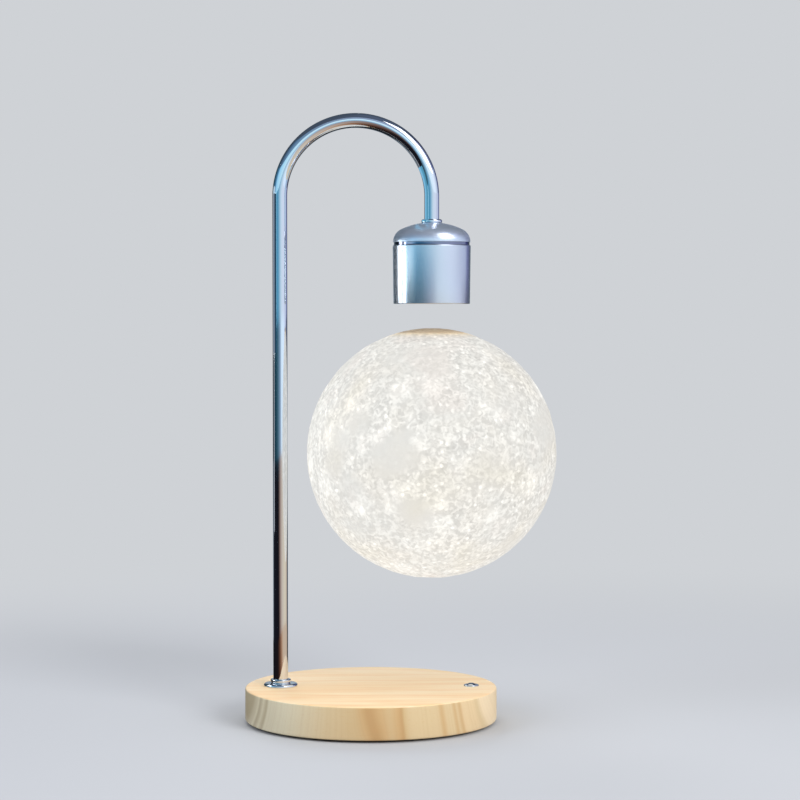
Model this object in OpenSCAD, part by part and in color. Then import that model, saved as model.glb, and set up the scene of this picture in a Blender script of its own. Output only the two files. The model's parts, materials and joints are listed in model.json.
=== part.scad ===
// Moon lamp: a wooden base, a bent chrome tube, a levitation head and a sphere that floats below it.
// Origin: centre of the face that the foot ring rests on. +Z up, +X from the tube towards the button.

/* [Base] */
// Diameter of the wooden base
base_d = 151.5; // [145:0.5:175]
// Thickness of the wooden base
base_h = 19.5; // [19.5:0.25:24]
// Radius of the base's rounded edges
base_edge = 1.2; // [0.4:0.1:2]
// Thickness of the wood over the pocket
base_roof = 5; // [4:0.25:5.5]
// Thickness of the wood around the pocket
base_wall = 8.5; // [8:0.25:10]
// Radius of the screw bosses left standing in the pocket
boss_r = 6; // [5:0.25:8]
// Width of the ledge that the base plate lies on
ledge_w = 2; // [1:0.25:3]
// Thickness of the steel base plate
plate_t = 2; // [1.5:0.1:2.5]
// Gap between the rubber foot ring and the heads of the plate's screws
foot_gap = 5.45; // [2:0.05:12]
// Width of the rubber foot ring
foot_w = 8; // [5:0.5:10]
// Depth of the groove that the foot ring is glued into
foot_groove = 0.5; // [0.3:0.1:0.8]
// Height of the foot ring below the plate
foot_proud = 1.5; // [1:0.1:3]

/* [Tube] */
// Outer diameter of the tube
tube_d = 8.9; // [8:0.1:10]
// Wall of the tube
tube_wall = 1.1; // [0.8:0.05:1.4]
// Distance of the upright leg's centre from the base's edge
leg_inset = 21.25; // [20:0.25:26]
// Radius of the arch, on the tube's centre line
arch_r = 45.5; // [42:0.5:48]
// Height of the arch's top above the floor
lamp_h = 365.5; // [350:0.5:420]
// Length of the drop leg between the arch and the head
drop_l = 15.8; // [10:0.2:30]
// Diameter of the collar's flange
collar_d = 20.6; // [19:0.2:24]
// Height of the collar
collar_h = 5.8; // [4:0.2:8]

/* [Head] */
// Diameter of the head's body at its top
head_d = 46.8; // [46.4:0.1:50]
// How much narrower the body is at its bottom
head_taper = 0.9; // [0:0.1:1.2]
// Height of the head's body
head_h = 35; // [34.5:0.25:42]
// Wall of the head's body, at the bottom
head_wall = 1.75; // [1.5:0.05:2]
// Diameter of the dome at its rim
dome_d = 46.4; // [45.6:0.1:46.8]
// Height of the dome's crown over its rim
dome_h = 11.8; // [11:0.1:14]
// Radius of the dome's shoulder
shoulder_r = 8.5; // [7:0.1:9.5]
// Wall of the dome
dome_wall = 1.6; // [1.2:0.1:1.8]
// Height of the polished trim ring
trim_h = 1.95; // [1:0.05:3]
// Depth by which the trim ring stands back from the body
trim_inset = 0.7; // [0.3:0.1:1]
// Diameter of the ferrule on the dome
ferrule_d = 12.4; // [12:0.1:13.5]
// Height of the ferrule
ferrule_h = 2.3; // [1.6:0.1:4]

/* [Moon] */
// Diameter of the moon
moon_d = 150; // [130:1:160]
// Wall of the moon's shell
moon_wall = 2.2; // [1.8:0.1:3]
// Air gap between the head and the moon
float_gap = 14.5; // [8:0.5:20]
// Diameter of the round cap at the moon's pole
cap_d = 40; // [39:0.5:44]
// Number of places that a crater can take on the moon
crater_n = 110; // [60:1:130]
// Radius of the smallest crater
crater_min = 2.2; // [1.5:0.1:3]
// Radius of the largest crater
crater_max = 8.5; // [6:0.1:9]
// Depth of the smallest crater below its rim
crater_shallow = 0.35; // [0.2:0.05:0.5]
// Depth of the largest crater below its rim
crater_deep = 0.75; // [0.5:0.05:1]

/* [Button] */
// Distance of the button's centre from the base's edge
button_inset = 15.25; // [15:0.25:20]
// Diameter of the bezel
bezel_d = 9.2; // [8.8:0.1:11]
// Height of the bezel over the wood
bezel_h = 1; // [0.6:0.1:1.4]
// Outer diameter of the bezel's threaded sleeve
sleeve_d = 7.6; // [7.4:0.1:8]
// Diameter of the domed cap
button_d = 6.2; // [5.6:0.1:6.4]
// Height of the dome's top over the wood
button_rise = 2.9; // [2.4:0.1:3.5]
// Travel of the button
button_travel = 0.8; // [0.5:0.1:1]

/* [Inlet] */
// Diameter of the inlet's threaded barrel
jack_d = 8; // [7.6:0.1:9]
// Diameter of the inlet's flange
jack_flange_d = 11; // [10:0.1:12.5]
// Diameter of the hole that takes the plug
jack_bore = 6.2; // [5.8:0.1:6.6]
// Diameter of the centre contact
jack_pin_d = 2; // [1.6:0.1:2.4]
// Depth of the hole that takes the plug
jack_depth = 9.5; // [8:0.5:10]

/* [Electronics] */
// Length of the control board
board_l = 64; // [58:1:68]
// Width of the control board
board_w = 44; // [36:1:50]
// Thickness of every circuit board
board_t = 1.6; // [1:0.1:1.6]
// Height of the spacers over the control board
spacer_h = 3; // [2:0.25:3.5]
// Diameter of the cable in the tube
cable_d = 2.4; // [1.8:0.1:2.6]
// Diameter of each lead in the base
lead_d = 1.4; // [1:0.1:1.8]
// Diameter of the electromagnet's core
core_d = 10; // [8:0.5:12]
// Diameter of the copper winding
winding_d = 36; // [30:0.5:38]
// Height of the electromagnet's bobbin
bobbin_h = 18; // [16:0.25:18.5]
// Outer diameter of the ring magnet
ring_magnet_d = 36; // [30:0.5:38]
// Thickness of the ring magnet
ring_magnet_h = 5; // [4:0.25:5.5]
// Diameter of the hole in the coil that sends the light's power
power_coil_bore = 14; // [8:1:24]
// Diameter of the magnet in the moon
magnet_d = 25; // [20:0.5:26]
// Thickness of the magnet in the moon
magnet_h = 10; // [6:0.5:12]
// Diameter of the rectifier board in the moon
rectifier_d = 28; // [26:0.5:34]
// Diameter of the tube that holds the light in the moon's middle
post_d = 8; // [7:0.5:10]
// Diameter of the board that carries the light diodes
led_board_d = 22; // [20:1:30]
// Number of light diodes in the ring
led_n = 6; // [4:1:8]

/* [Fits] */
// Radial clearance of pieces that are only put together
fit = 0.1; // [0.05:0.01:0.15]
// Radial clearance of the sliding button
slide_fit = 0.08; // [0.05:0.01:0.1]
// Free space around the floating magnet
free_gap = 0.3; // [0.3:0.05:0.5]

/* [Hidden] */
$fn = 64;
eps = 0.01;
over = 1;

// Colours
wood = "#e8cfa2";
chrome = "#d5d9de";
satin = "#b4bcc6";
steel = "#8c9095";
brass = "#c9a45a";
copper = "#b8693a";
rubber = "#2a2a2c";
black = "#202226";
board_green = "#1f6b45";
lit_moon = "#f4efe4";
cap_tan = "#d9c5a4";

// Base levels and radii
base_r = base_d / 2;
z_wood = foot_proud;
z_top = z_wood + base_h;
z_roof = z_top - base_roof;
z_plate = z_wood + plate_t;
pocket_r = base_r - base_wall;
rebate_r = pocket_r + ledge_w;
boss_c = pocket_r - boss_r / 2;
boss_n = 4;
boss_turn = 45;

// Screws
screw_r = 1.5;
screw_head_r = 2.8;
screw_head_h = 1.5;
screw_l = 9;
slot_l = 2.6;
slot_w = 0.6;
slot_depth = 0.8;
hole_end = 0.5;
small_screw_r = 1.2;
small_head_r = 2.3;
small_head_h = 1.3;
small_screw_l = 8.5;
foot_r = boss_c - screw_head_r - foot_gap;

// Tube
tube_r = tube_d / 2;
bore_r = tube_r - tube_wall;
leg_x = leg_inset - base_r;
head_x = leg_x + 2 * arch_r;
z_spring = lamp_h - arch_r - tube_r;
z_seat = z_spring - drop_l;
washer_t = 1.2;
washer_w = 4;
nut_w = 2.6;
nut_h = 4;
tube_nut_flats = 2 * (tube_r + nut_w);
tube_end = 0.5;
z_tube_end = z_roof - washer_t - nut_h - tube_end;
cable_bend = 2 * cable_d;
z_cable_run = z_tube_end - cable_bend;
hub_w = 1.75;
neck_w = 0.7;
collar_edge = 0.7;
collar_sweep = 1.2;

// Head
head_r = head_d / 2;
head_foot_r = head_r - head_taper / 2;
head_bore = head_foot_r - head_wall;
head_lip = 1;
dome_r = dome_d / 2;
crown_r = (pow(dome_r - shoulder_r, 2) + pow(dome_h, 2) - pow(shoulder_r, 2)) / (2 * (dome_h - shoulder_r));
crown_c = dome_h - crown_r;
crown_start = atan2(-crown_c, dome_r - shoulder_r);
ferrule_r = ferrule_d / 2;
seat_h = hundredths(crown_c + sqrt(pow(crown_r, 2) - pow(ferrule_r, 2)));
inner_seat_h = seat_h - dome_wall - 0.1;
z_rim = z_seat - seat_h;
z_body_top = z_rim - trim_h;
z_head = z_body_top - head_h;
spigot_h = 1.2;
spigot_w = 1.6;
face_inset = 0.6;
face_t = 2;
z_face = z_head + face_inset + face_t;
power_coil_t = 1.2;
ferrite_t = 1;
z_ferrite = z_face + power_coil_t;
z_ring_magnet = z_ferrite + ferrite_t;
z_bobbin = z_ring_magnet + ring_magnet_h;
z_bobbin_top = z_bobbin + bobbin_h;
flange_t = 1.5;
lug_h = 1.5;
z_driver = z_bobbin_top + lug_h;
sensor_t = 1;
sensor_w = 3;
bobbin_hub_w = 1.5;
lug_r = 1.6;
lug_inset = 4;
coil_rim = 1.5;
head_washer_w = 2.2;
head_nut_h = 3;
z_head_tube_end = z_rim + inner_seat_h - washer_t - head_nut_h - tube_end;
head_plug = [7, 5, 2.6];
chip = [5, 6, 1.8];
chip_x = 10;
can_n = 4;
can_place_r = 12;
can_d = 4;
can_h = 3;

// Moon
moon_r = moon_d / 2;
moon_c = z_head - float_gap - moon_r;
cap_r = cap_d / 2;
cap_edge = 1.4;
z_ledge = moon_c + hundredths(sqrt(pow(moon_r, 2) - pow(cap_r, 2))) - cap_edge;
ledge_ring_w = 3;
ledge_ring_h = 6;
ledge_bore = cap_r - 2;
holder_floor = 3;
z_magnet = z_ledge - 2 * free_gap - magnet_h;
z_holder = z_magnet - free_gap - holder_floor;
coil_w = 2.4;
coil_h = 2.6;
coil_cover = 0.2;
groove_wall = 0.8;
groove_r = ledge_bore - 2 * fit - groove_wall;
z_groove = z_ledge - coil_h - coil_cover;
stud_h = 3;
stud_r = 2;
stud_place_r = 10;
stud_n = 3;
z_rectifier = z_holder - stud_h - board_t;
post_wall = 1.5;
post_flange_w = 3;
post_flange_t = 1.5;
led_rise = 2.4;
z_led_board = moon_c + led_rise;
led_size = 3.5;
led_h = 1.4;
led_edge = 3;
golden = 180 * (3 - sqrt(5));
crater_turn = 34;
crater_shift = 2.2;

// Button, in heights over the wood's top
button_x = base_r - button_inset;
button_r = button_d / 2;
bezel_edge = 0.6;
bezel_nut_w = 1.7;
bezel_nut_h = 2.5;
cap_depth = 3;
cap_collar = 0.3;
cap_play = 0.3;
web_top = bezel_h - cap_depth;
web_t = 3;
stem_w = 1.1;
stem_r = button_r - stem_w;
stem_end = 0.4;
sleeve_r = sleeve_d / 2;
sleeve_wall = 0.6;
sleeve_l = 12;
chamber_r = sleeve_r - sleeve_wall;
clip_t = 0.6;
clip_gap = 0.3;
clip_play = 0.1;
cap_foot = web_top + button_travel + cap_play;
web_foot = web_top - web_t;
clip_top = web_foot - clip_play;
stem_foot = clip_top - clip_t - stem_end;
spring_room = 3.2;
insert_top = web_foot - spring_room;
insert_foot = -sleeve_l - 0.5;
plunger_r = 1;
plunger_l = 2.6;
plunger_end = 0.5;
terminal = [0.5, 1.6, 2.6];
terminal_y = 1.2;
spring_wire = 0.4;
spring_turns = 4;
spring_seat = 0.05;

// Inlet, in depths behind the base's rear
jack_sink = 2;
jack_flange_t = 1.5;
jack_z = (z_plate + z_roof) / 2;
jack_barrel_l = 10.5;
jack_rear_l = 3;
jack_rear_step = 0.5;
jack_lug = [0.6, 2, 3];
jack_nut_w = 1.5;
jack_nut_flats = jack_d + 2 * jack_nut_w;
jack_nut_h = 2.4;
jack_seat_cut = 0.3;
jack_seat = base_wall - jack_seat_cut;
jack_pin_end = 1;
jack_tip_h = 0.5;
jack_tip_w = 0.4;
jack_reach = jack_sink + jack_barrel_l + jack_rear_l;
jack_lug_pitch = 4.4;

// Leads, and what the control board carries: x, y, then width, depth and height or diameter and height
z_board = z_roof - spacer_h - board_t;
board_hole_inset = 4;
spacer_r = 3;
plug_inset = 1;
plug_l = 6;
plug_foot = 0.2;
cable_plug_w = 8;
jack_plug_w = 9;
button_plug_w = 7;
z_button_lead = z_top + insert_foot - terminal[2] / 2;
chips = [[-8, -6, 10, 10, 1.8], [12, -8, 6, 5, 1.6]];
cans = [[8, 6, 8, 4.5], [-18, 7, 6, 5.5], [-11, 7, 6, 5.5]];

/* ---------- shapes that repeat ---------- */

// Heights that come from a curve are rounded, so that faces meet exactly
function hundredths(x) = round(100 * x) / 100;

// Points of an arc, around c, from angle a to angle b
function arc(c, r, a, b, n = 8) = [for (i = [0:n]) let (t = a + (b - a) * i / n) c + r * [cos(t), sin(t)]];

module ring(outer, inner, h) {
  linear_extrude(h) difference() {
    circle(outer);
    circle(inner);
  }
}

module hex_nut(flats, bore, h) {
  linear_extrude(h) difference() {
    circle(flats / 2 / cos(30), $fn = 6);
    circle(bore);
  }
}

module around(n, r, turn = 0) {
  for (i = [0:n - 1]) rotate(turn + 360 * i / n) translate([r, 0]) children();
}

module box(size, at) {
  translate([at[0] - size[0] / 2, at[1] - size[1] / 2, at[2]]) cube(size);
}

// A straight lead from a point along +X or +Y
module lead(at, turn, l, d) {
  translate(at) rotate([0, 0, turn]) rotate([0, 90, 0]) cylinder(h = l, d = d);
}

module at_button() {
  translate([button_x, 0, z_top]) children();
}

module at_leg() {
  translate([leg_x, 0, 0]) children();
}

module at_head() {
  translate([head_x, 0, 0]) children();
}

// The inlet's own frame: +Z points out of the base's rear, from its outermost line
module at_jack() {
  translate([0, base_r, jack_z]) rotate([-90, 0, 0]) children();
}

/* ---------- base ---------- */

module pocket_outline() {
  difference() {
    circle(pocket_r);
    around(boss_n, boss_c, boss_turn) circle(boss_r);
  }
}

module base_blank() {
  top_c = [base_r - base_edge, z_top - base_edge];
  foot_c = [base_r - base_edge, z_wood + base_edge];
  rotate_extrude($fn = 128) polygon(concat(
    [[0, z_wood]],
    arc(foot_c, base_edge, -90, 0, 5),
    arc(top_c, base_edge, 0, 90, 5),
    [[0, z_top]]
  ));
}

module wooden_base() {
  color(wood) difference() {
    base_blank();
    translate([0, 0, z_wood - over]) cylinder(h = plate_t + over, r = rebate_r, $fn = 128);
    translate([0, 0, z_wood]) linear_extrude(z_roof - z_wood, $fn = 128) pocket_outline();
    at_leg() translate([0, 0, z_roof - over]) cylinder(h = base_roof + 2 * over, r = tube_r + fit);
    at_button() translate([0, 0, -base_roof - over])
      cylinder(h = base_roof + 2 * over, r = sleeve_r + fit);
    at_jack() {
      translate([0, 0, -base_wall - over]) cylinder(h = base_wall + 2 * over, d = jack_d + 2 * fit);
      translate([0, 0, -jack_sink]) cylinder(h = jack_sink + over, d = jack_flange_d + 4 * fit);
    }
    box([jack_nut_flats / cos(30) + over, 2 * over, z_roof - z_plate],
      [0, base_r - jack_seat - over, z_plate]);
    around(boss_n, boss_c, boss_turn) translate([0, 0, z_wood])
      cylinder(h = screw_l + hole_end, r = screw_r + fit / 2);
    board_holes() translate([0, 0, z_roof - over])
      cylinder(h = small_screw_l - spacer_h - board_t + over + hole_end, r = small_screw_r + fit / 2);
  }
}

module base_plate() {
  color(steel) difference() {
    translate([0, 0, z_wood]) cylinder(h = plate_t, r = rebate_r - fit, $fn = 128);
    translate([0, 0, z_wood - over]) ring(foot_r, foot_r - foot_w, foot_groove + over, $fn = 96);
    around(boss_n, boss_c, boss_turn) {
      translate([0, 0, z_wood - over]) cylinder(h = plate_t + 2 * over, r = screw_r + fit);
      translate([0, 0, z_wood - eps])
        cylinder(h = screw_head_h + eps, r1 = screw_head_r + fit, r2 = screw_r + fit);
    }
  }
}

module plate_screws() {
  color(steel) around(boss_n, boss_c, boss_turn) translate([0, 0, z_wood]) difference() {
    union() {
      cylinder(h = screw_head_h, r1 = screw_head_r, r2 = screw_r);
      cylinder(h = screw_l, r = screw_r);
    }
    for (turn = [0, 90]) rotate(turn) box([slot_l, slot_w, slot_depth + over], [0, 0, -over]);
  }
}

module foot_ring() {
  color(rubber) ring(foot_r, foot_r - foot_w, foot_proud + foot_groove, $fn = 96);
}

/* ---------- control board ---------- */

module board_holes() {
  for (x = [-1, 1], y = [-1, 1])
    translate([x * (board_l / 2 - board_hole_inset), y * (board_w / 2 - board_hole_inset), 0]) children();
}

module control_board() {
  color(board_green) difference() {
    box([board_l, board_w, board_t], [0, 0, z_board]);
    board_holes() translate([0, 0, z_board - over]) cylinder(h = board_t + 2 * over, r = small_screw_r + fit);
  }
}

module board_spacers() {
  color(black) board_holes() translate([0, 0, z_board + board_t])
    ring(spacer_r, small_screw_r + fit, spacer_h);
}

module board_screws() {
  color(steel) board_holes() translate([0, 0, z_board - small_head_h]) {
    cylinder(h = small_screw_l + small_head_h, r = small_screw_r);
    cylinder(h = small_head_h, r1 = small_head_r - 0.5, r2 = small_head_r);
  }
}

// Plugs, capacitors, a coil and two chips, all on the board's lower face
module board_parts() {
  plug_x = board_l / 2 - plug_inset - plug_l / 2;
  color(black) {
    cable_plug = z_board - z_cable_run + cable_d / 2 + plug_foot;
    box([plug_l, cable_plug_w, cable_plug], [-plug_x, 0, z_board - cable_plug]);
    jack_plug = z_board - jack_z + 1.5 * lead_d + plug_foot;
    box([jack_plug_w, plug_l, jack_plug], [0, board_w / 2 - plug_inset - plug_l / 2, z_board - jack_plug]);
    button_plug = z_board - z_button_lead + lead_d + plug_foot;
    box([plug_l, button_plug_w, button_plug], [plug_x, 0, z_board - button_plug]);
    for (c = chips) box([c[2], c[3], c[4]], [c[0], c[1], z_board - c[4]]);
    for (c = cans) translate([c[0], c[1], z_board - c[3]]) cylinder(h = c[3], d = c[2]);
  }
}

/* ---------- inlet ---------- */

module jack_body() {
  rear_r = jack_d / 2 - jack_rear_step;
  color(steel) at_jack() difference() {
    union() {
      rotate_extrude() polygon([
        [0, -jack_reach], [rear_r, -jack_reach], [rear_r, -jack_sink - jack_barrel_l],
        [jack_d / 2, -jack_sink - jack_barrel_l], [jack_d / 2, -jack_sink],
        [jack_flange_d / 2, -jack_sink], [jack_flange_d / 2, jack_flange_t - jack_sink],
        [0, jack_flange_t - jack_sink]
      ]);
      for (x = [-1, 1]) box(jack_lug + [0, 0, over], [x * jack_lug_pitch / 2, 0, -jack_reach - jack_lug[2]]);
    }
    translate([0, 0, -jack_sink - jack_depth])
      cylinder(h = jack_depth + jack_flange_t + over, d = jack_bore);
  }
}

module jack_nut() {
  color(steel) at_jack() translate([0, 0, -jack_seat - jack_nut_h])
    hex_nut(jack_nut_flats, jack_d / 2 + fit / 2, jack_nut_h);
}

// The contact stands on the floor of the plug's hole and stops short of the mouth
module jack_pin() {
  color(brass) at_jack() translate([0, 0, -jack_sink - jack_depth]) {
    cylinder(h = jack_depth - jack_pin_end, d = jack_pin_d);
    translate([0, 0, jack_depth - jack_pin_end])
      cylinder(h = jack_tip_h, d1 = jack_pin_d, d2 = jack_pin_d - 2 * jack_tip_w);
  }
}

module jack_leads() {
  color(rubber) {
    from_y = board_w / 2 - plug_inset;
    to_y = base_r - jack_reach - jack_lug[2];
    for (x = [-1, 1]) lead([x * jack_lug_pitch / 2, from_y, jack_z], 90, to_y - from_y, lead_d);
  }
}

/* ---------- button ---------- */

module button_bezel() {
  color(chrome) at_button() difference() {
    rotate_extrude() polygon(concat(
      [[0, -sleeve_l], [sleeve_r, -sleeve_l], [sleeve_r, 0], [bezel_d / 2, 0]],
      arc([bezel_d / 2 - bezel_edge, bezel_h - bezel_edge], bezel_edge, 0, 90, 4),
      [[0, bezel_h]]
    ));
    translate([0, 0, web_top]) cylinder(h = bezel_h - web_top + over, r = button_r + slide_fit);
    translate([0, 0, web_foot - over]) cylinder(h = web_t + 2 * over, r = stem_r + slide_fit);
    translate([0, 0, -sleeve_l - over]) cylinder(h = sleeve_l + web_foot + over, r = chamber_r);
  }
}

module bezel_nut() {
  color(steel) at_button() translate([0, 0, -base_roof - bezel_nut_h])
    hex_nut(sleeve_d + 2 * bezel_nut_w, sleeve_r + fit / 2, bezel_nut_h);
}

// The dome is part of a sphere through the cap's edge and its top
module button_cap() {
  edge_h = bezel_h + cap_collar;
  dome_rise = button_rise - edge_h;
  ball_r = (pow(button_r, 2) + pow(dome_rise, 2)) / (2 * dome_rise);
  color(chrome) at_button() {
    intersection() {
      translate([0, 0, cap_foot]) cylinder(h = button_rise - cap_foot + over, r = button_r);
      translate([0, 0, button_rise - ball_r]) sphere(ball_r);
    }
    translate([0, 0, stem_foot]) cylinder(h = cap_foot - stem_foot + button_r / 2, r = stem_r);
  }
}

module button_clip() {
  color(steel) at_button() translate([0, 0, clip_top - clip_t])
    ring(chamber_r - clip_gap, stem_r + fit / 2, clip_t);
}

// Return spring: one round wire on a helix, with its ends on the insert and on the clip
module button_spring() {
  low = insert_top + spring_wire / 2 + spring_seat;
  high = clip_top - clip_t - spring_wire / 2 - spring_seat;
  steps = 16;
  sides = 6;
  n = spring_turns * steps;
  mean_r = (stem_r + chamber_r) / 2 - spring_wire / 2;
  points = [for (i = [0:n], j = [0:sides - 1])
    let (a = 360 * i / steps, b = 360 * j / sides, r = mean_r + spring_wire / 2 * cos(b))
    [r * cos(a), r * sin(a), low + (high - low) * i / n + spring_wire / 2 * sin(b)]];
  skin = [for (i = [0:n - 1], j = [0:sides - 1])
    let (a = i * sides + j, b = i * sides + (j + 1) % sides)
    each [[a, b, b + sides], [a, b + sides, a + sides]]];
  ends = [[for (j = [sides - 1:-1:0]) j], [for (j = [0:sides - 1]) n * sides + j]];
  color(steel) at_button() polyhedron(points, concat(skin, ends), convexity = 4);
}

module switch_insert() {
  color(black) at_button() {
    difference() {
      translate([0, 0, insert_foot]) cylinder(h = insert_top - insert_foot, r = chamber_r - fit / 2);
      translate([0, 0, insert_top - plunger_l - button_travel])
        cylinder(h = plunger_l + button_travel + over, r = plunger_r + slide_fit);
    }
    for (y = [-terminal_y, terminal_y])
      box(terminal + [0, 0, over / 2], [0, y, insert_foot - terminal[2]]);
  }
}

module switch_plunger() {
  color(rubber) at_button() translate([0, 0, insert_top - plunger_l + plunger_end])
    cylinder(h = stem_foot - insert_top + plunger_l - plunger_end, r = plunger_r);
}

module button_leads() {
  from_x = board_l / 2 - plug_inset;
  color(rubber) for (y = [-terminal_y, terminal_y])
    lead([from_x, y, z_button_lead], 0, button_x - terminal[0] / 2 - from_x, lead_d);
}

/* ---------- tube ---------- */

// The tube's path from the base over the arch into the head, with any round section
module tube_path(z_low, z_head_end) {
  translate([leg_x, 0, z_spring]) rotate([180, 0, 0]) linear_extrude(z_spring - z_low) children();
  translate([head_x - arch_r, 0, z_spring]) rotate([90, 0, 0])
    rotate_extrude(angle = 180, $fn = 128) translate([arch_r, 0]) children();
  translate([head_x, 0, z_spring]) rotate([180, 0, 0]) linear_extrude(z_spring - z_head_end) children();
}

module tube() {
  color(chrome) tube_path(z_tube_end, z_head_tube_end) difference() {
    circle(tube_r);
    circle(bore_r);
  }
}

module tube_collar() {
  flange_h = collar_h / 3;
  hub_r = tube_r + hub_w;
  neck_r = tube_r + neck_w;
  color(chrome) at_leg() translate([0, 0, z_top]) rotate_extrude() polygon(concat(
    [[tube_r + fit, 0]],
    [[collar_d / 2, 0]],
    arc([collar_d / 2 - collar_edge, flange_h - collar_edge], collar_edge, 0, 75, 4),
    arc([hub_r + collar_sweep, flange_h + collar_sweep + 0.15], collar_sweep, 270, 180, 5),
    arc([neck_r - 0.5, collar_h - 0.5], 0.5, 10, 90, 4),
    [[tube_r + fit, collar_h]]
  ));
}

module tube_washer() {
  color(steel) at_leg() translate([0, 0, z_roof - washer_t])
    ring(tube_r + washer_w, tube_r + fit, washer_t);
}

module tube_nut() {
  color(steel) at_leg() translate([0, 0, z_roof - washer_t - nut_h])
    hex_nut(tube_nut_flats, tube_r + fit / 2, nut_h);
}

// The cable leaves the tube below, turns to the control board and runs level to its plug
module head_cable() {
  plug_x = -board_l / 2 + plug_inset;
  color(rubber) {
    tube_path(z_tube_end, z_driver + board_t + head_plug[2]) circle(d = cable_d);
    translate([leg_x + cable_bend, 0, z_tube_end]) rotate([90, 0, 0])
      rotate_extrude(angle = 90, start = 180) translate([cable_bend, 0]) circle(d = cable_d);
    lead([leg_x + cable_bend, 0, z_cable_run], 0, plug_x - leg_x - cable_bend, cable_d);
  }
}

/* ---------- head ---------- */

// Outline of the dome, from its rim up to height cut, drawn inset inside the outer face
function dome_outline(inset, cut) =
  let (top = asin((cut - crown_c) / (crown_r - inset)))
  concat(
    arc([dome_r - shoulder_r, 0], shoulder_r - inset, 0, crown_start, 10),
    arc([0, crown_c], crown_r - inset, crown_start, top, 6)
  );

module head_ferrule() {
  bead = ferrule_h * 0.45;
  color(chrome) at_head() translate([0, 0, z_seat]) rotate_extrude() polygon(concat(
    [[tube_r + fit, 0]],
    [[ferrule_r - 0.6, 0]],
    arc([ferrule_r - bead, ferrule_h - bead], bead, -30, 90, 8),
    [[tube_r + fit, ferrule_h]]
  ));
}

module head_dome() {
  outer = dome_outline(0, seat_h);
  inner = dome_outline(dome_wall, inner_seat_h);
  hole = tube_r + fit;
  color(satin) at_head() translate([0, 0, z_rim]) rotate_extrude($fn = 128) polygon(concat(
    outer,
    [[hole, seat_h], [hole, inner_seat_h]],
    [for (i = [len(inner) - 1:-1:0]) inner[i]]
  ));
}

// Polished band between the dome and the body, with a spigot into each
module trim_ring() {
  up_r = dome_r - dome_wall - 0.3;
  down_r = head_bore - fit;
  in_r = down_r - spigot_w;
  color(chrome) at_head() translate([0, 0, z_body_top]) rotate_extrude($fn = 128) polygon([
    [in_r, -spigot_h], [down_r, -spigot_h], [down_r, 0],
    [head_r - trim_inset, 0], [head_r - trim_inset, trim_h],
    [up_r, trim_h], [up_r, trim_h + spigot_h], [in_r, trim_h + spigot_h]
  ]);
}

// Turned and slightly tapered body, with a recess for the face at its bottom
module head_body() {
  edge = 0.5;
  recess_r = head_foot_r - head_lip;
  color(satin) at_head() translate([0, 0, z_head]) rotate_extrude($fn = 128) polygon(concat(
    [[recess_r, 0]],
    arc([head_foot_r - edge, edge], edge, -90, 0, 4),
    arc([head_r - edge, head_h - edge], edge, 0, 90, 4),
    [[head_bore, head_h], [head_bore, face_inset + face_t], [recess_r, face_inset + face_t]]
  ));
}

module head_face() {
  color(black) at_head() translate([0, 0, z_head + face_inset])
    cylinder(h = face_t, r = head_foot_r - head_lip - fit, $fn = 96);
}

module head_washer() {
  color(steel) at_head() translate([0, 0, z_rim + inner_seat_h - washer_t])
    ring(tube_r + head_washer_w, tube_r + fit, washer_t);
}

module head_nut() {
  color(steel) at_head() translate([0, 0, z_rim + inner_seat_h - washer_t - head_nut_h])
    hex_nut(tube_nut_flats, tube_r + fit / 2, head_nut_h);
}

module driver_board() {
  color(board_green) at_head() translate([0, 0, z_driver])
    cylinder(h = board_t, r = head_bore - spigot_w - 2 * fit);
}

module driver_parts() {
  color(black) at_head() {
    z = z_driver + board_t;
    box(head_plug, [0, 0, z]);
    for (x = [-1, 1]) box(chip, [x * chip_x, 0, z]);
    around(can_n, can_place_r, 180 / can_n) translate([0, 0, z]) cylinder(h = can_h, d = can_d);
  }
}

module coil_bobbin() {
  hub_r = core_d / 2 + bobbin_hub_w;
  rim_r = head_bore - 2 * fit;
  color(black) at_head() {
    translate([0, 0, z_bobbin]) rotate_extrude() polygon([
      [core_d / 2 + fit, 0], [rim_r, 0], [rim_r, flange_t], [hub_r, flange_t],
      [hub_r, bobbin_h - flange_t], [rim_r, bobbin_h - flange_t], [rim_r, bobbin_h],
      [core_d / 2 + fit, bobbin_h]
    ]);
    around(3, rim_r - lug_inset) translate([0, 0, z_driver - lug_h - flange_t])
      cylinder(h = lug_h + flange_t, r = lug_r);
  }
}

module coil_winding() {
  color(copper) at_head() translate([0, 0, z_bobbin + flange_t])
    ring(winding_d / 2, core_d / 2 + bobbin_hub_w + fit, bobbin_h - 2 * flange_t);
}

module coil_core() {
  color(steel) at_head() translate([0, 0, z_ring_magnet + sensor_t])
    cylinder(h = z_bobbin_top - z_ring_magnet - sensor_t, d = core_d);
}

module ring_magnet() {
  color(chrome) at_head() translate([0, 0, z_ring_magnet])
    ring(ring_magnet_d / 2, core_d / 2 + sensor_w + 0.5, ring_magnet_h);
}

module sensor_board() {
  color(board_green) at_head() translate([0, 0, z_ring_magnet])
    cylinder(h = sensor_t, r = core_d / 2 + sensor_w);
}

module ferrite_disc() {
  color(rubber) at_head() translate([0, 0, z_ferrite]) cylinder(h = ferrite_t, r = head_bore - 2 * fit);
}

module power_coil() {
  color(copper) at_head() translate([0, 0, z_face])
    ring(head_bore - coil_rim, power_coil_bore / 2, power_coil_t);
}

/* ---------- moon ---------- */

// A dish of radius a and depth d under the sphere's surface: a ball cuts it, and meets the sphere in a circle
module crater(a, d) {
  k = moon_r - d - sqrt(pow(moon_r, 2) - pow(a, 2));
  ball_r = -(pow(k, 2) + pow(a, 2)) / (2 * k);
  translate([0, 0, moon_r - d + ball_r]) sphere(ball_r);
}

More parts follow.
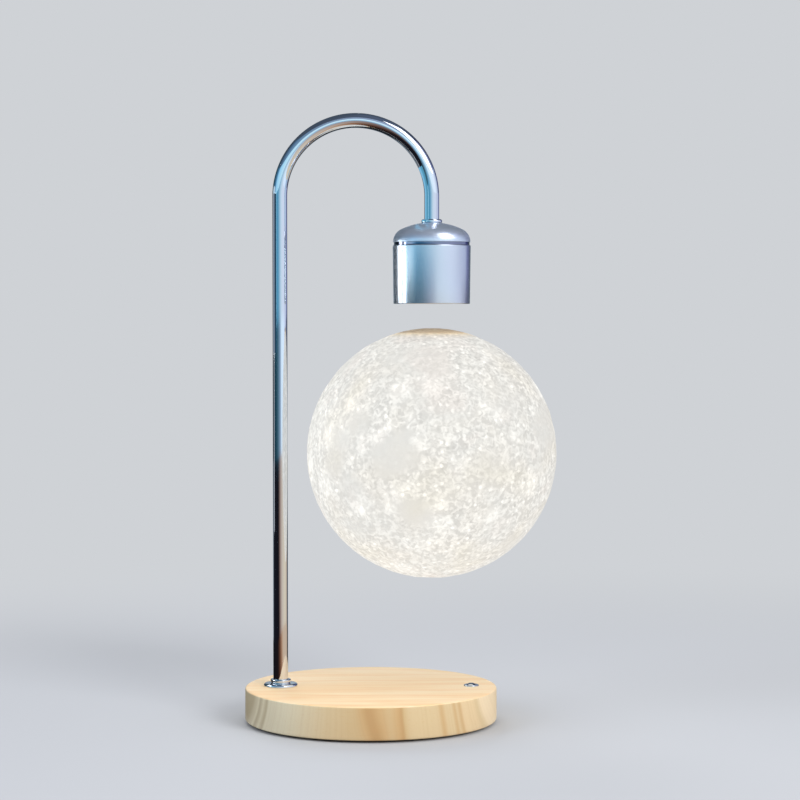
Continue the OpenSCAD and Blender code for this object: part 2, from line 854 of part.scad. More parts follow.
// A number from 0 to 1 that looks drawn by lot but depends only on i and the row k
function lot(i, k) = let (v = 4375.85 * sin(128.5 * i + 311.7 * k)) v - floor(v);

// Craters lie on a golden spiral from pole to pole, so that no two meet; the cap's place stays free
module craters() {
  free_angle = asin((cap_r + crater_max) / moon_r) + 1;
  for (i = [0:crater_n - 1]) {
    tilt = acos(1 - 2 * (i + 0.5) / crater_n) + crater_shift * (2 * lot(i, 2) - 1);
    share = pow(lot(i, 1), 2.2);
    a = crater_min + (crater_max - crater_min) * share;
    sink = moon_r - sqrt(pow(moon_r, 2) - pow(a, 2));
    d = sink + crater_shallow + (crater_deep - crater_shallow) * share;
    if (tilt > free_angle && tilt < 176)
      rotate([0, 0, crater_turn + golden * i]) rotate([0, tilt, 0]) crater(a, d);
  }
}

module moon_shell() {
  inner_r = moon_r - moon_wall;
  ledge_ring_r = ledge_bore + ledge_ring_w;
  color(lit_moon) at_head() translate([0, 0, moon_c]) difference() {
    union() {
      difference() {
        sphere(moon_r, $fn = 160);
        sphere(inner_r, $fn = 160);
      }
      intersection() {
        translate([0, 0, z_ledge - moon_c - ledge_ring_h])
          cylinder(h = ledge_ring_h + moon_r, r = ledge_ring_r);
        sphere(moon_r - moon_wall / 2, $fn = 160);
      }
    }
    translate([0, 0, z_ledge - moon_c]) cylinder(h = moon_r, r = cap_r);
    translate([0, 0, z_ledge - moon_c - ledge_ring_h - over]) cylinder(h = moon_r, r = ledge_bore);
    craters();
  }
}

module moon_cap() {
  color(cap_tan) at_head() intersection() {
    translate([0, 0, z_ledge]) cylinder(h = moon_r, r = cap_r - fit);
    translate([0, 0, moon_c]) sphere(moon_r, $fn = 160);
  }
}

module moon_magnet() {
  color(chrome) at_head() translate([0, 0, z_magnet]) cylinder(h = magnet_h, d = magnet_d);
}

// Cup under the cap: the magnet sits free in its middle and the receiver coil in a groove round it
module magnet_holder() {
  pocket = magnet_d / 2 + free_gap;
  color(black) at_head() difference() {
    union() {
      translate([0, 0, z_holder]) cylinder(h = z_ledge - z_holder, r = ledge_bore - fit);
      around(stud_n, stud_place_r) translate([0, 0, z_holder - stud_h])
        cylinder(h = stud_h + over, r = stud_r);
    }
    translate([0, 0, z_holder + holder_floor]) cylinder(h = moon_r, r = pocket);
    translate([0, 0, z_groove]) ring(groove_r, groove_r - coil_w, coil_h + over);
  }
}

module receiver_coil() {
  color(copper) at_head() translate([0, 0, z_groove]) ring(groove_r - fit, groove_r - coil_w + fit, coil_h);
}

module rectifier_board() {
  color(board_green) at_head() translate([0, 0, z_rectifier]) cylinder(h = board_t, d = rectifier_d);
}

module light_post() {
  foot = z_led_board + board_t;
  post_r = post_d / 2;
  color(lit_moon) at_head() difference() {
    union() {
      translate([0, 0, foot]) cylinder(h = z_rectifier - foot, r = post_r);
      for (z = [foot, z_rectifier - post_flange_t])
        translate([0, 0, z]) cylinder(h = post_flange_t, r = post_r + post_flange_w);
    }
    translate([0, 0, foot - over]) cylinder(h = z_rectifier - foot + 2 * over, r = post_r - post_wall);
  }
}

module led_board() {
  color("white") at_head() translate([0, 0, z_led_board]) cylinder(h = board_t, d = led_board_d);
}

module leds() {
  color("#fff2c8") at_head() {
    box([led_size, led_size, led_h], [0, 0, z_led_board - led_h]);
    around(led_n, led_board_d / 2 - led_edge) box([led_size, led_size, led_h], [0, 0, z_led_board - led_h]);
  }
}

/* ---------- the assembly ---------- */

wooden_base();
base_plate();
plate_screws();
foot_ring();
control_board();
board_parts();
board_spacers();
board_screws();
jack_body();
jack_nut();
jack_pin();
jack_leads();
button_bezel();
bezel_nut();
button_cap();
button_clip();
button_spring();
switch_insert();
switch_plunger();
button_leads();
tube();
tube_collar();
tube_washer();
tube_nut();
head_cable();
head_ferrule();
head_dome();
trim_ring();
head_body();
head_face();
head_washer();
head_nut();
driver_board();
driver_parts();
coil_bobbin();
coil_winding();
coil_core();
ring_magnet();
sensor_board();
ferrite_disc();
power_coil();
moon_shell();
moon_cap();
moon_magnet();
magnet_holder();
receiver_coil();
rectifier_board();
light_post();
led_board();
leds();
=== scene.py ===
"""Moon lamp: a lit moon floats under a head that a bent tube carries over a round wooden base"""
import json
import math

import bmesh
import bpy
import numpy as np
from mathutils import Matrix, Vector


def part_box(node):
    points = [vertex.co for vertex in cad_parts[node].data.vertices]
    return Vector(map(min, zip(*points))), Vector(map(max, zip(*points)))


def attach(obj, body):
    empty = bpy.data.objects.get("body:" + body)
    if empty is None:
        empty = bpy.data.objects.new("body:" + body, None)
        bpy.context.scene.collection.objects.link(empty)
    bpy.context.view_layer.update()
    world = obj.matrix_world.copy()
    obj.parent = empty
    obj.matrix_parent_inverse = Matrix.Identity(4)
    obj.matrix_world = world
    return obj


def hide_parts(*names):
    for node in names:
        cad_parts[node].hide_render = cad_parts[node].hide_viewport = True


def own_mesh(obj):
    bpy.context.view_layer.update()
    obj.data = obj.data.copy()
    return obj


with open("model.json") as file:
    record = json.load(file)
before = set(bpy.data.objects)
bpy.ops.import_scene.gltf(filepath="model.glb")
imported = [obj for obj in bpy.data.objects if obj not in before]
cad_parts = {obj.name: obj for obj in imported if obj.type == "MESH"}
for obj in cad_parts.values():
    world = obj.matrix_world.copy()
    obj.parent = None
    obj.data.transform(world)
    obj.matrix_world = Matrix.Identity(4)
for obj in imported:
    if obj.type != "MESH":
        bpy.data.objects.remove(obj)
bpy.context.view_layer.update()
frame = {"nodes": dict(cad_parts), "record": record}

MM = 0.001

# ---------- sizes, in metres, read from the frame or given --------------------------------------------

TUBE_R = 4.45 * MM
TUBE_WALL = 1.1 * MM
FIT = 0.1 * MM
ARCH_R = 45.5 * MM
tube_low, tube_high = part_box("tube")
LEG_X = tube_low.x + TUBE_R
HEAD_X = tube_high.x - TUBE_R
Z_SPRING = tube_high.z - TUBE_R - ARCH_R

MOON_R = 75 * MM
MOON_WALL = 2.2 * MM
CAP_R = 20 * MM
CAP_EDGE = 1.4 * MM
LEDGE_BORE = 18 * MM
LEDGE_RING_R = 21 * MM
LEDGE_RING_H = 6 * MM
MOON_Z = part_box("moon_shell")[0].z + MOON_R
MOON_CENTRE = Vector((HEAD_X, 0, MOON_Z))
CAP_ANGLE = math.asin(CAP_R / MOON_R)
MOON_GLOW = 0.738          # strength of the light that comes through plain ground
RIM_SHARE = 0.3            # height of a crater's rim over its depth
MARGIN = 0.12 * MM         # how far plain ground stays under the frame's moon

HEAD_R = 23.4 * MM
HEAD_FOOT_R = 22.95 * MM
HEAD_BORE = 21.2 * MM
Z_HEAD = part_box("head_body")[0].z
Z_BODY_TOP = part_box("head_body")[1].z
DOME_R = 23.2 * MM
DOME_WALL = 1.6 * MM
SHOULDER_R = 8.5 * MM
DOME_H = 11.8 * MM
Z_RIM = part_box("head_dome")[0].z
Z_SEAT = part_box("head_dome")[1].z
FERRULE_R = 6.2 * MM
FERRULE_H = 2.3 * MM

Z_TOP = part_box("wooden_base")[1].z
COLLAR_R = 10.3 * MM
COLLAR_H = 4.4 * MM
BUTTON_X = (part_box("button_bezel")[0].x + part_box("button_bezel")[1].x) / 2
SIDE_R = 75.8 * MM         # the wood's side, with a little to spare
SIDE_LEAN = 70.0           # how fast the bands of the side lean, per metre of height
PLASTIC_IOR = 1.5

# ---------- small tools ----------


def feed(tree, node, inputs):
    """Give a node's inputs their values, or link them to sockets. A node stands for its first output, and
    From and To each take a pair, the least and the most"""
    for name, value in inputs.items():
        if name in ("From", "To"):
            feed(tree, node, {name + " Min": value[0], name + " Max": value[1]})
            continue
        if isinstance(value, bpy.types.Node):
            value = value.outputs[0]
        if isinstance(value, bpy.types.NodeSocket):
            tree.links.new(value, node.inputs[name])
        else:
            node.inputs[name].default_value = value


def add(tree, kind, inputs=None, **settings):
    """Add a node, of a shader where its kind has no Node in it: settings are its own properties, stops fill
    its ramp, and inputs are what feed takes"""
    node = tree.nodes.new(kind if "Node" in kind else "ShaderNode" + kind)
    for name, value in settings.items():
        if name == "stops":
            ramp = node.color_ramp
            while len(ramp.elements) < len(value):
                ramp.elements.new(0.5)
            for element, (place, hue) in zip(ramp.elements, value):
                element.position = place
                element.color = colour(hue)
        else:
            setattr(node, name, value)
    feed(tree, node, inputs or {})
    return node


def colour(code):
    """The linear colour of an sRGB hex value"""
    parts = [int(code[i:i + 2], 16) / 255 for i in (1, 3, 5)]
    return [c / 12.92 if c <= 0.04045 else ((c + 0.055) / 1.055) ** 2.4 for c in parts] + [1]


def begin(name):
    """A new material with its shader, and the object's coordinates"""
    material = bpy.data.materials.new(name)
    material.use_nodes = True
    tree = material.node_tree
    shader = tree.nodes["Principled BSDF"]
    place = add(tree, "TexCoord").outputs["Object"]
    return material, tree, shader, place


def smooth(mesh, angle=35):
    """Smooth shading, with the edges past an angle kept sharp"""
    mesh.shade_smooth()
    mesh.set_sharp_from_angle(angle=math.radians(angle))


def new_piece(name, verts, faces, edges=()):
    mesh = bpy.data.meshes.new(name)
    mesh.from_pydata([tuple(v) for v in verts], list(edges), list(faces))
    mesh.update()
    piece = bpy.data.objects.new(name, mesh)
    bpy.context.scene.collection.objects.link(piece)
    return piece


def tidy(piece, angle=35, recalculate=True):
    """Merge doubles, point the faces outwards and set the shading"""
    shape = bmesh.new()
    shape.from_mesh(piece.data)
    bmesh.ops.remove_doubles(shape, verts=shape.verts, dist=1e-7)
    if recalculate:
        bmesh.ops.recalc_face_normals(shape, faces=shape.faces)
    shape.to_mesh(piece.data)
    shape.free()
    smooth(piece.data, angle)
    return piece


def arc(centre, radius, start, end, steps):
    """Points (r, z) of an arc, from one angle to another in degrees"""
    turns = np.radians(np.linspace(start, end, steps + 1))
    return [(centre[0] + radius * math.cos(t), centre[1] + radius * math.sin(t)) for t in turns]


def rounded(corners, steps=6):
    """A closed outline from corners (r, z, fillet), each fillet an arc that meets its two sides"""
    outline = []
    for i, (r, z, fillet) in enumerate(corners):
        here = np.array([r, z])
        before = np.array(corners[i - 1][:2]) - here
        after = np.array(corners[(i + 1) % len(corners)][:2]) - here
        before, after = before / np.linalg.norm(before), after / np.linalg.norm(after)
        half = math.acos(np.clip(before @ after, -1, 1)) / 2
        if fillet == 0 or half > math.radians(89):
            outline.append((r, z))
            continue
        middle = (before + after) / np.linalg.norm(before + after)
        centre = here + middle * fillet / math.sin(half)
        reach = fillet / math.tan(half)
        first, last = here + before * reach - centre, here + after * reach - centre
        for k in range(steps + 1):
            way = first * (1 - k / steps) + last * k / steps
            outline.append(tuple(centre + way * fillet / np.linalg.norm(way)))
    return outline


def turned(outline, axis, steps, closed=True):
    """Vertices and faces of an outline (r, z) turned about an upright axis"""
    verts, rows = [], []
    for r, z in outline:
        if r < 1e-7:
            rows.append([len(verts)] * steps)
            verts.append((axis[0], axis[1], z))
        else:
            rows.append(list(range(len(verts), len(verts) + steps)))
            for k in range(steps):
                turn = 2 * math.pi * k / steps
                verts.append((axis[0] + r * math.cos(turn), axis[1] + r * math.sin(turn), z))
    faces = []
    pairs = zip(rows, rows[1:] + rows[:1]) if closed else zip(rows, rows[1:])
    for low, high in pairs:
        for k in range(steps):
            corners = [low[k], low[(k + 1) % steps], high[(k + 1) % steps], high[k]]
            corners = [c for n, c in enumerate(corners) if c != corners[n - 1]]
            if len(corners) > 2:
                faces.append(corners)
    return verts, faces


def lathe(name, outline, axis, steps=192, angle=35):
    return tidy(new_piece(name, *turned(outline, axis, steps)), angle)


def settle(piece):
    """Keep what a piece's modifiers make of it as its plain mesh, and take them off"""
    graph = bpy.context.evaluated_depsgraph_get()
    mesh = bpy.data.meshes.new_from_object(
        piece.evaluated_get(graph), preserve_all_data_layers=True, depsgraph=graph)
    piece.modifiers.clear()
    piece.data = mesh
    return piece


def grow(piece, tree, **values):
    """Run Geometry Nodes on a piece with the values given to their named inputs"""
    modifier = piece.modifiers.new(tree.name, "NODES")
    modifier.node_group = tree
    for item in tree.interface.items_tree:
        if item.in_out == "INPUT" and item.name in values:
            modifier[item.identifier] = values[item.name]
    return settle(piece)


def dress(piece, material):
    piece.data.materials.clear()
    piece.data.materials.append(material)
    return piece


# ---------- finishes ----------


def metal(name, tone, roughness, wear_mm, wear, bump):
    """Plated or bare metal: a slow change of roughness over the surface, as handling leaves it"""
    material, tree, shader, place = begin(name)
    patches = add(tree, "TexNoise", {"Vector": place, "Scale": 1 / (wear_mm * MM), "Detail": 4.0})
    rough = add(tree, "MapRange", {
        "Value": patches, "From": (0.3, 0.7), "To": (roughness, roughness + wear)})
    relief = add(tree, "Bump", {"Height": patches, "Strength": bump, "Distance": 0.02 * MM})
    feed(tree, shader, {"Base Color": colour(tone), "Metallic": 1, "Roughness": rough, "Normal": relief})
    return material


def moulded(name, tones, grain_mm, roughness, bump):
    """Moulded or coated surface: an even colour with a fine grain from the mould"""
    material, tree, shader, place = begin(name)
    grain = add(tree, "TexNoise", {"Vector": place, "Scale": 1 / (grain_mm * MM), "Detail": 3.0})
    tone = add(tree, "ValToRGB", {"Fac": grain}, stops=[(0.3, tones[0]), (0.7, tones[1])])
    rough = add(tree, "MapRange", {"Value": grain, "To": (roughness - 0.06, roughness + 0.06)})
    relief = add(tree, "Bump", {"Height": grain, "Strength": bump, "Distance": 0.05 * MM})
    feed(tree, shader, {"Base Color": tone, "Roughness": rough, "Normal": relief, "IOR": PLASTIC_IOR})
    return material


def polished_chrome():
    """Chromium plating on polished steel: a clear mirror, a little softer where it is handled"""
    return metal("polished_chrome_plating", "#dfe3e8", 0.045, 18, 0.03, 0.02)


def turned_satin_aluminium(name, tone, roughness, bare):
    """Anodised aluminium, turned and blasted fine: highlights spread sideways along faint turning lines.
    The share that is not bare metal scatters light, as a coarser blast does"""
    material, tree, shader, place = begin(name)
    # the turning lines run round the piece, about 0.3 mm apart
    lines = add(tree, "Mapping", {"Vector": place, "Scale": (6, 6, 3300)})
    cuts = add(tree, "TexNoise", {"Vector": lines, "Scale": 1.0, "Detail": 2.0})
    grit = add(tree, "TexNoise", {"Vector": place, "Scale": 1 / (0.5 * MM), "Detail": 2.0})
    rough = add(tree, "MapRange", {
        "Value": cuts, "From": (0.3, 0.7), "To": (roughness - 0.02, roughness + 0.02)})
    coarse = add(tree, "Bump", {"Height": cuts, "Strength": 0.03, "Distance": 0.01 * MM})
    fine = add(tree, "Bump", {"Height": grit, "Strength": 0.05, "Distance": 0.01 * MM, "Normal": coarse})
    feed(tree, shader, {"Base Color": colour(tone), "Metallic": bare, "Roughness": rough, "Normal": fine})
    return material


def oiled_pine():
    """Pale oiled pine: long soft streaks on the flat top, and bands where the side cuts across the rings"""
    material, tree, shader, place = begin("oiled_pale_pine")
    # top: streaks 90 mm long and 8 mm wide, and pores 14 mm long and 0.8 mm wide
    along = add(tree, "Mapping", {"Vector": place, "Scale": (11, 125, 125)})
    streaks = add(tree, "TexNoise", {"Vector": along, "Scale": 1.0, "Detail": 5.0, "Distortion": 0.4})
    top_tone = add(tree, "ValToRGB", {"Fac": streaks},
                   stops=[(0.3, "#f7cc96"), (0.45, "#fad8a8"), (0.6, "#fde3bc"), (0.78, "#f9d3a2")])
    pore_place = add(tree, "Mapping", {"Vector": place, "Scale": (70, 1250, 1250)})
    pores = add(tree, "TexNoise", {"Vector": pore_place, "Scale": 1.0, "Detail": 2.0})
    pore_dark = add(tree, "MapRange", {"Value": pores, "From": (0.58, 0.74), "To": (0.0, 0.16)})
    # side: broad bands that lean outwards to the foot, in the middle to the right, and lines 1.8 mm apart,
    # with painted shade at the left end and painted light at the right end
    axes = add(tree, "SeparateXYZ", {"Vector": place}).outputs
    wander = add(tree, "TexNoise", {"Vector": place, "Scale": 1 / (45 * MM), "Detail": 1.0})
    drift = add(tree, "MapRange", {"Value": wander, "To": (-3 * MM, 3 * MM)})
    from_middle = add(tree, "Math", {0: axes["X"]}, operation="ABSOLUTE")
    fan = add(tree, "Math", {0: axes["X"], 1: from_middle}, operation="MULTIPLY")
    lean = add(tree, "Math", {0: fan, 1: axes["Z"]}, operation="MULTIPLY")
    slanted = add(tree, "Math", {0: lean, 1: SIDE_LEAN, 2: axes["X"]}, operation="MULTIPLY_ADD")
    middle = add(tree, "MapRange", {
        "Value": from_middle, "From": (4 * MM, 14 * MM), "To": (0.3, 0.0)}, interpolation_type="SMOOTHSTEP")
    over = add(tree, "Math", {0: axes["Z"], 1: Z_TOP / 2}, operation="SUBTRACT")
    curl = add(tree, "Math", {0: over, 1: middle, 2: drift}, operation="MULTIPLY_ADD")
    bent = add(tree, "Math", {0: slanted, 1: curl}, operation="ADD")
    across = add(tree, "MapRange", {"Value": bent, "From": (-SIDE_R, SIDE_R)})
    # shade is painted shade on the bands at the side's left end, and lit is painted light at its right end
    shade, pale, ground, heart, ring = "#c2b391", "#e2d7b8", "#d5bd93", "#ccb082", "#caa777"
    late, early, lit = "#bf9967", "#dec49a", "#ecd6b2"
    bands = add(tree, "ValToRGB", {"Fac": across}, stops=[
        (0.0, shade), (0.028, pale), (0.036, shade), (0.05, pale), (0.068, shade), (0.076, pale),
        (0.16, pale), (0.33, ground), (0.45, heart), (0.48, ring), (0.505, late), (0.525, late),
        (0.56, ring), (0.585, heart), (0.61, ring), (0.628, late), (0.637, heart), (0.66, ground),
        (0.77, ground), (0.79, ring), (0.81, ground), (0.838, ground), (0.85, ring), (0.86, ground),
        (0.873, ring), (0.885, early), (0.935, early), (0.955, ground), (0.975, lit)])
    line_place = add(tree, "CombineXYZ", {"X": bent})
    lines = add(tree, "TexNoise", {
        "Vector": line_place, "Scale": 1 / (1.8 * MM), "Detail": 3.0, "Roughness": 0.6})
    line_dark = add(tree, "MapRange", {"Value": lines, "From": (0.45, 0.75), "To": (0.0, 0.2)})
    side_tone = add(tree, "Mix", {0: line_dark, 6: bands, 7: colour("#b99668")}, data_type="RGBA")
    normal = add(tree, "NewGeometry").outputs["Normal"]
    up = add(tree, "SeparateXYZ", {"Vector": normal})
    flat = add(tree, "MapRange", {
        "Value": up.outputs["Z"], "From": (0.35, 0.8)}, interpolation_type="SMOOTHSTEP")
    both = add(tree, "Mix", {0: flat, 6: side_tone.outputs[2], 7: top_tone}, data_type="RGBA")
    tone = add(tree, "Mix", {0: pore_dark, 6: both.outputs[2], 7: colour("#c89a62")}, data_type="RGBA")
    rough = add(tree, "MapRange", {"Value": streaks, "To": (0.38, 0.52)})
    relief = add(tree, "Bump", {"Height": pores, "Strength": 0.2, "Distance": 0.05 * MM})
    feed(tree, shader, {"Base Color": tone.outputs[2], "Roughness": rough, "Normal": relief})
    return material


def lit_moon_plastic():
    """Printed translucent plastic with a lamp inside: thin spots sparkle, plains stay even and greyer"""
    material, tree, shader, place = begin("lit_printed_moon_plastic")
    relief, plain, fresh, hood = [
        add(tree, "Attribute", attribute_name=label).outputs["Fac"]
        for label in ("relief_mm", "plain", "fresh", "cap_shade")]
    # what a thin spot, a plain and a young crater add to the light, and how much a plain calms the sparkle
    spot_gain, plain_gain, fresh_gain, calming = 0.24, -0.015, 0.13, -0.88
    # thin spots 2 mm across and 3.2 mm apart, over a grain of 1.5 mm with narrow dark gaps
    spots = add(tree, "TexVoronoi", {"Vector": place, "Scale": 1 / (3.2 * MM)})
    spot = add(tree, "MapRange", {
        "Value": spots, "From": (0.2, 0.45), "To": (1.0, 0.0)}, interpolation_type="SMOOTHSTEP")
    chance = add(tree, "SeparateColor", {"Color": spots.outputs["Color"]})
    some = add(tree, "MapRange", {"Value": chance.outputs["Red"], "From": (0.3, 0.9), "To": (-0.25, 1.0)})
    dots = add(tree, "Math", {0: spot, 1: some}, operation="MULTIPLY")
    grains = add(tree, "TexNoise", {
        "Vector": place, "Scale": 1 / (3.1 * MM), "Detail": 2.0, "Roughness": 0.5, "Distortion": 0.8})
    grain = add(tree, "MapRange", {"Value": grains, "From": (0.4, 0.66), "To": (-0.09, 0.17)})
    sparkle = add(tree, "Math", {0: dots, 1: spot_gain, 2: grain}, operation="MULTIPLY_ADD")
    clouds = add(tree, "TexNoise", {"Vector": place, "Scale": 1 / (26 * MM), "Detail": 3.0})
    lively = add(tree, "MapRange", {"Value": clouds, "From": (0.35, 0.65), "To": (0.7, 1.1)})
    rough_land = add(tree, "Math", {0: plain, 1: calming, 2: 1.0}, operation="MULTIPLY_ADD")
    where = add(tree, "Math", {0: lively, 1: rough_land}, operation="MULTIPLY")
    thin = add(tree, "MapRange", {"Value": relief, "From": (-0.5, 0.12), "To": (0.025, -0.02)})
    sparkle_here = add(tree, "Math", {0: sparkle, 1: where, 2: thin}, operation="MULTIPLY_ADD")
    # the lamp inside shines down, so the lower half is brighter; the left half glows brighter and the right
    # half dimmer as painted light that evens out the lamps from the right
    axes = add(tree, "SeparateXYZ", {"Vector": place}).outputs
    down = add(tree, "MapRange", {
        "Value": axes["Z"], "From": (MOON_Z - MOON_R, MOON_Z + MOON_R), "To": (0.06, -0.045)})
    painted_side_glow = add(tree, "MapRange", {
        "Value": axes["X"], "From": (HEAD_X - MOON_R, HEAD_X + MOON_R), "To": (0.05, -0.05)})
    lamp_and_painted_side_glow = add(tree, "Math", {0: down, 1: painted_side_glow}, operation="ADD")
    uneven = add(tree, "Math", {0: sparkle_here, 1: lamp_and_painted_side_glow}, operation="ADD")
    lit = add(tree, "Math", {0: fresh, 1: fresh_gain, 2: uneven}, operation="MULTIPLY_ADD")
    dim = add(tree, "Math", {0: plain, 1: plain_gain, 2: lit}, operation="MULTIPLY_ADD")
    glow = add(tree, "Math", {0: dim, 1: MOON_GLOW}, operation="ADD")
    hues = add(tree, "TexNoise", {"Vector": place, "Scale": 1 / (40 * MM), "Detail": 2.0})
    hue = add(tree, "ValToRGB", {"Fac": hues},
              stops=[(0.33, "#f7f3e8"), (0.45, "#f8f5ee"), (0.56, "#f6f5f0"), (0.68, "#f9f4ee")])
    warm = add(tree, "Mix", {0: hood, 6: hue, 7: colour("#f3dcb4")}, data_type="RGBA")
    bump = add(tree, "Bump", {"Height": sparkle_here, "Strength": 0.5, "Distance": 0.5 * MM})
    feed(tree, shader, {
        "Base Color": colour("#5c5a55"), "Roughness": 0.6, "Normal": bump,
        "Emission Color": warm.outputs[2], "Emission Strength": glow})
    return material


def cap_plastic_painted_shade():
    """The same printed plastic, thick and unlit: its warm tan is painted shade, with the print's fine grain
    """
    return moulded("cap_plastic_painted_shade", ("#d2b795", "#e4cfb1"), 1.6, 0.6, 0.5)


def solder_mask_board():
    """Glass fibre board under green solder mask: tracks show through as lighter lines"""
    material, tree, shader, place = begin("solder_masked_board")
    tracks = add(tree, "TexBrick", {
        "Vector": place, "Color1": colour("#1f6b45"), "Color2": colour("#236f4a"),
        "Mortar": colour("#2f8a5c"), "Scale": 1 / (9 * MM), "Mortar Size": 0.012})
    weave = add(tree, "TexNoise", {"Vector": place, "Scale": 1 / (0.6 * MM)})
    rough = add(tree, "MapRange", {"Value": weave, "To": (0.25, 0.4)})
    feed(tree, shader, {"Base Color": tracks, "Roughness": rough})
    return material


def enamelled_winding():
    """Enamelled copper wire in close layers: bright turns and dark gaps of painted shade, drawn 0.8 mm
    apart to show
    """
    material, tree, shader, place = begin("enamelled_copper_winding")
    # one band of a wave texture is 0.314 units wide
    turns = add(tree, "TexWave", {
        "Vector": place, "Scale": 0.314 / (0.8 * MM), "Distortion": 0.5}, bands_direction="Z")
    # the dark stop is painted shade in the gaps between the turns
    tone = add(tree, "ValToRGB", {"Fac": turns.outputs["Fac"]}, stops=[(0.1, "#5e2f16"), (0.6, "#b8693a")])
    bump = add(tree, "Bump", {"Height": turns.outputs["Fac"], "Strength": 0.6, "Distance": 0.2 * MM})
    feed(tree, shader, {"Base Color": tone, "Metallic": 0.9, "Roughness": 0.3, "Normal": bump})
    return material


FINISH = {
    "wood": oiled_pine(),
    "chrome": polished_chrome(),
    "satin_aluminium": turned_satin_aluminium("satin_anodised_aluminium", "#d3d9e2", 0.24, 0.94),
    "blasted_aluminium": turned_satin_aluminium("blasted_anodised_aluminium", "#cdd7e5", 0.3, 0.76),
    # the trim band's tone is darkened as painted shade, for the shadow in the gap it stands back in
    "polished_aluminium": metal("polished_aluminium", "#8c8fa2", 0.09, 12, 0.04, 0.03),
    "moon_plastic": lit_moon_plastic(),
    "cap_plastic": cap_plastic_painted_shade(),
    "steel": metal("zinc_plated_steel", "#9b9ea3", 0.3, 8, 0.12, 0.1),
    "brass": metal("bare_brass", "#c9a45a", 0.2, 5, 0.1, 0.05),
    "magnet": metal("nickel_plated_magnet", "#c9c7c1", 0.14, 10, 0.06, 0.03),
    "rubber": moulded("moulded_rubber", ("#1f1f21", "#29292b"), 0.8, 0.78, 0.3),
    "black_plastic": moulded("moulded_black_plastic", ("#191a1d", "#212226"), 0.7, 0.45, 0.25),
    "lead_sleeve": moulded("soft_lead_sleeve", ("#26262a", "#303036"), 0.6, 0.5, 0.1),
    "ferrite": moulded("sintered_ferrite", ("#2c2a2a", "#3a3837"), 0.4, 0.65, 0.4),
    "diode": moulded("diode_phosphor", ("#ffe9a8", "#fff0c4"), 0.5, 0.4, 0.1),
    "circuit_board": solder_mask_board(),
    "copper": enamelled_winding(),
}

# ---------- Geometry Nodes: the tube along its path, and the moon's craters ----------


def new_tree(name, **inputs):
    """A Geometry Nodes tree with a geometry in and out, and named inputs"""
    tree = bpy.data.node_groups.new(name, "GeometryNodeTree")
    tree.interface.new_socket("Geometry", in_out="INPUT", socket_type="NodeSocketGeometry")
    tree.interface.new_socket("Geometry", in_out="OUTPUT", socket_type="NodeSocketGeometry")
    for label, kind in inputs.items():
        tree.interface.new_socket(label, in_out="INPUT", socket_type="NodeSocket" + kind)
    return tree, add(tree, "NodeGroupInput").outputs


def close_tree(tree, geometry, material):
    """End a tree in Realize Instances and Set Material"""
    real = add(tree, "GeometryNodeRealizeInstances", {"Geometry": geometry})
    done = add(tree, "GeometryNodeSetMaterial", {"Geometry": real, "Material": material})
    add(tree, "NodeGroupOutput", {"Geometry": done})
    return tree


def swept_tube_tree():
    """A round section swept along the chain of edges that comes in"""
    tree, given = new_tree("swept_tube", Radius="Float", Sides="Int", Material="Material")
    path = add(tree, "GeometryNodeMeshToCurve", {"Mesh": given["Geometry"]})
    section = add(tree, "GeometryNodeCurvePrimitiveCircle", {
        "Resolution": given["Sides"], "Radius": given["Radius"]})
    sweep = add(tree, "GeometryNodeCurveToMesh", {"Curve": path, "Profile Curve": section})
    return close_tree(tree, sweep, given["Material"])


def crater_push(tree, points, where):
    """How far, in mm, the nearest crater moves a place: a bowl inside its radius and a low rim round it"""
    nearest = add(tree, "GeometryNodeSampleNearest", {"Geometry": points, "Sample Position": where})
    middle = add(tree, "GeometryNodeSampleIndex", {
        "Geometry": points, "Value": add(tree, "GeometryNodeInputPosition"),
        "Index": nearest}, data_type="FLOAT_VECTOR")
    sizes = [add(tree, "GeometryNodeSampleIndex", {
        "Geometry": points, "Value": add(tree, "GeometryNodeInputNamedAttribute", {"Name": label}),
        "Index": nearest}) for label in ("radius", "depth_mm")]
    apart = add(tree, "VectorMath", {0: where, 1: middle}, operation="DISTANCE")
    share = add(tree, "Math", {0: apart.outputs["Value"], 1: sizes[0]}, operation="DIVIDE")
    inside = add(tree, "Math", {0: share, 1: 1.0}, operation="MINIMUM")
    bowl = add(tree, "Math", {0: inside, 1: inside, 2: -1.0}, operation="MULTIPLY_ADD")
    rim = add(tree, "MapRange", {
        "Value": share, "From": (1.0, 1.5), "To": (RIM_SHARE, 0.0)}, interpolation_type="SMOOTHSTEP")
    rise = add(tree, "MapRange", {"Value": share, "From": (0.7, 1.0)}, interpolation_type="SMOOTHSTEP")
    edge = add(tree, "Math", {0: rim, 1: rise, 2: bowl}, operation="MULTIPLY_ADD")
    return add(tree, "Math", {0: edge, 1: sizes[1]}, operation="MULTIPLY")


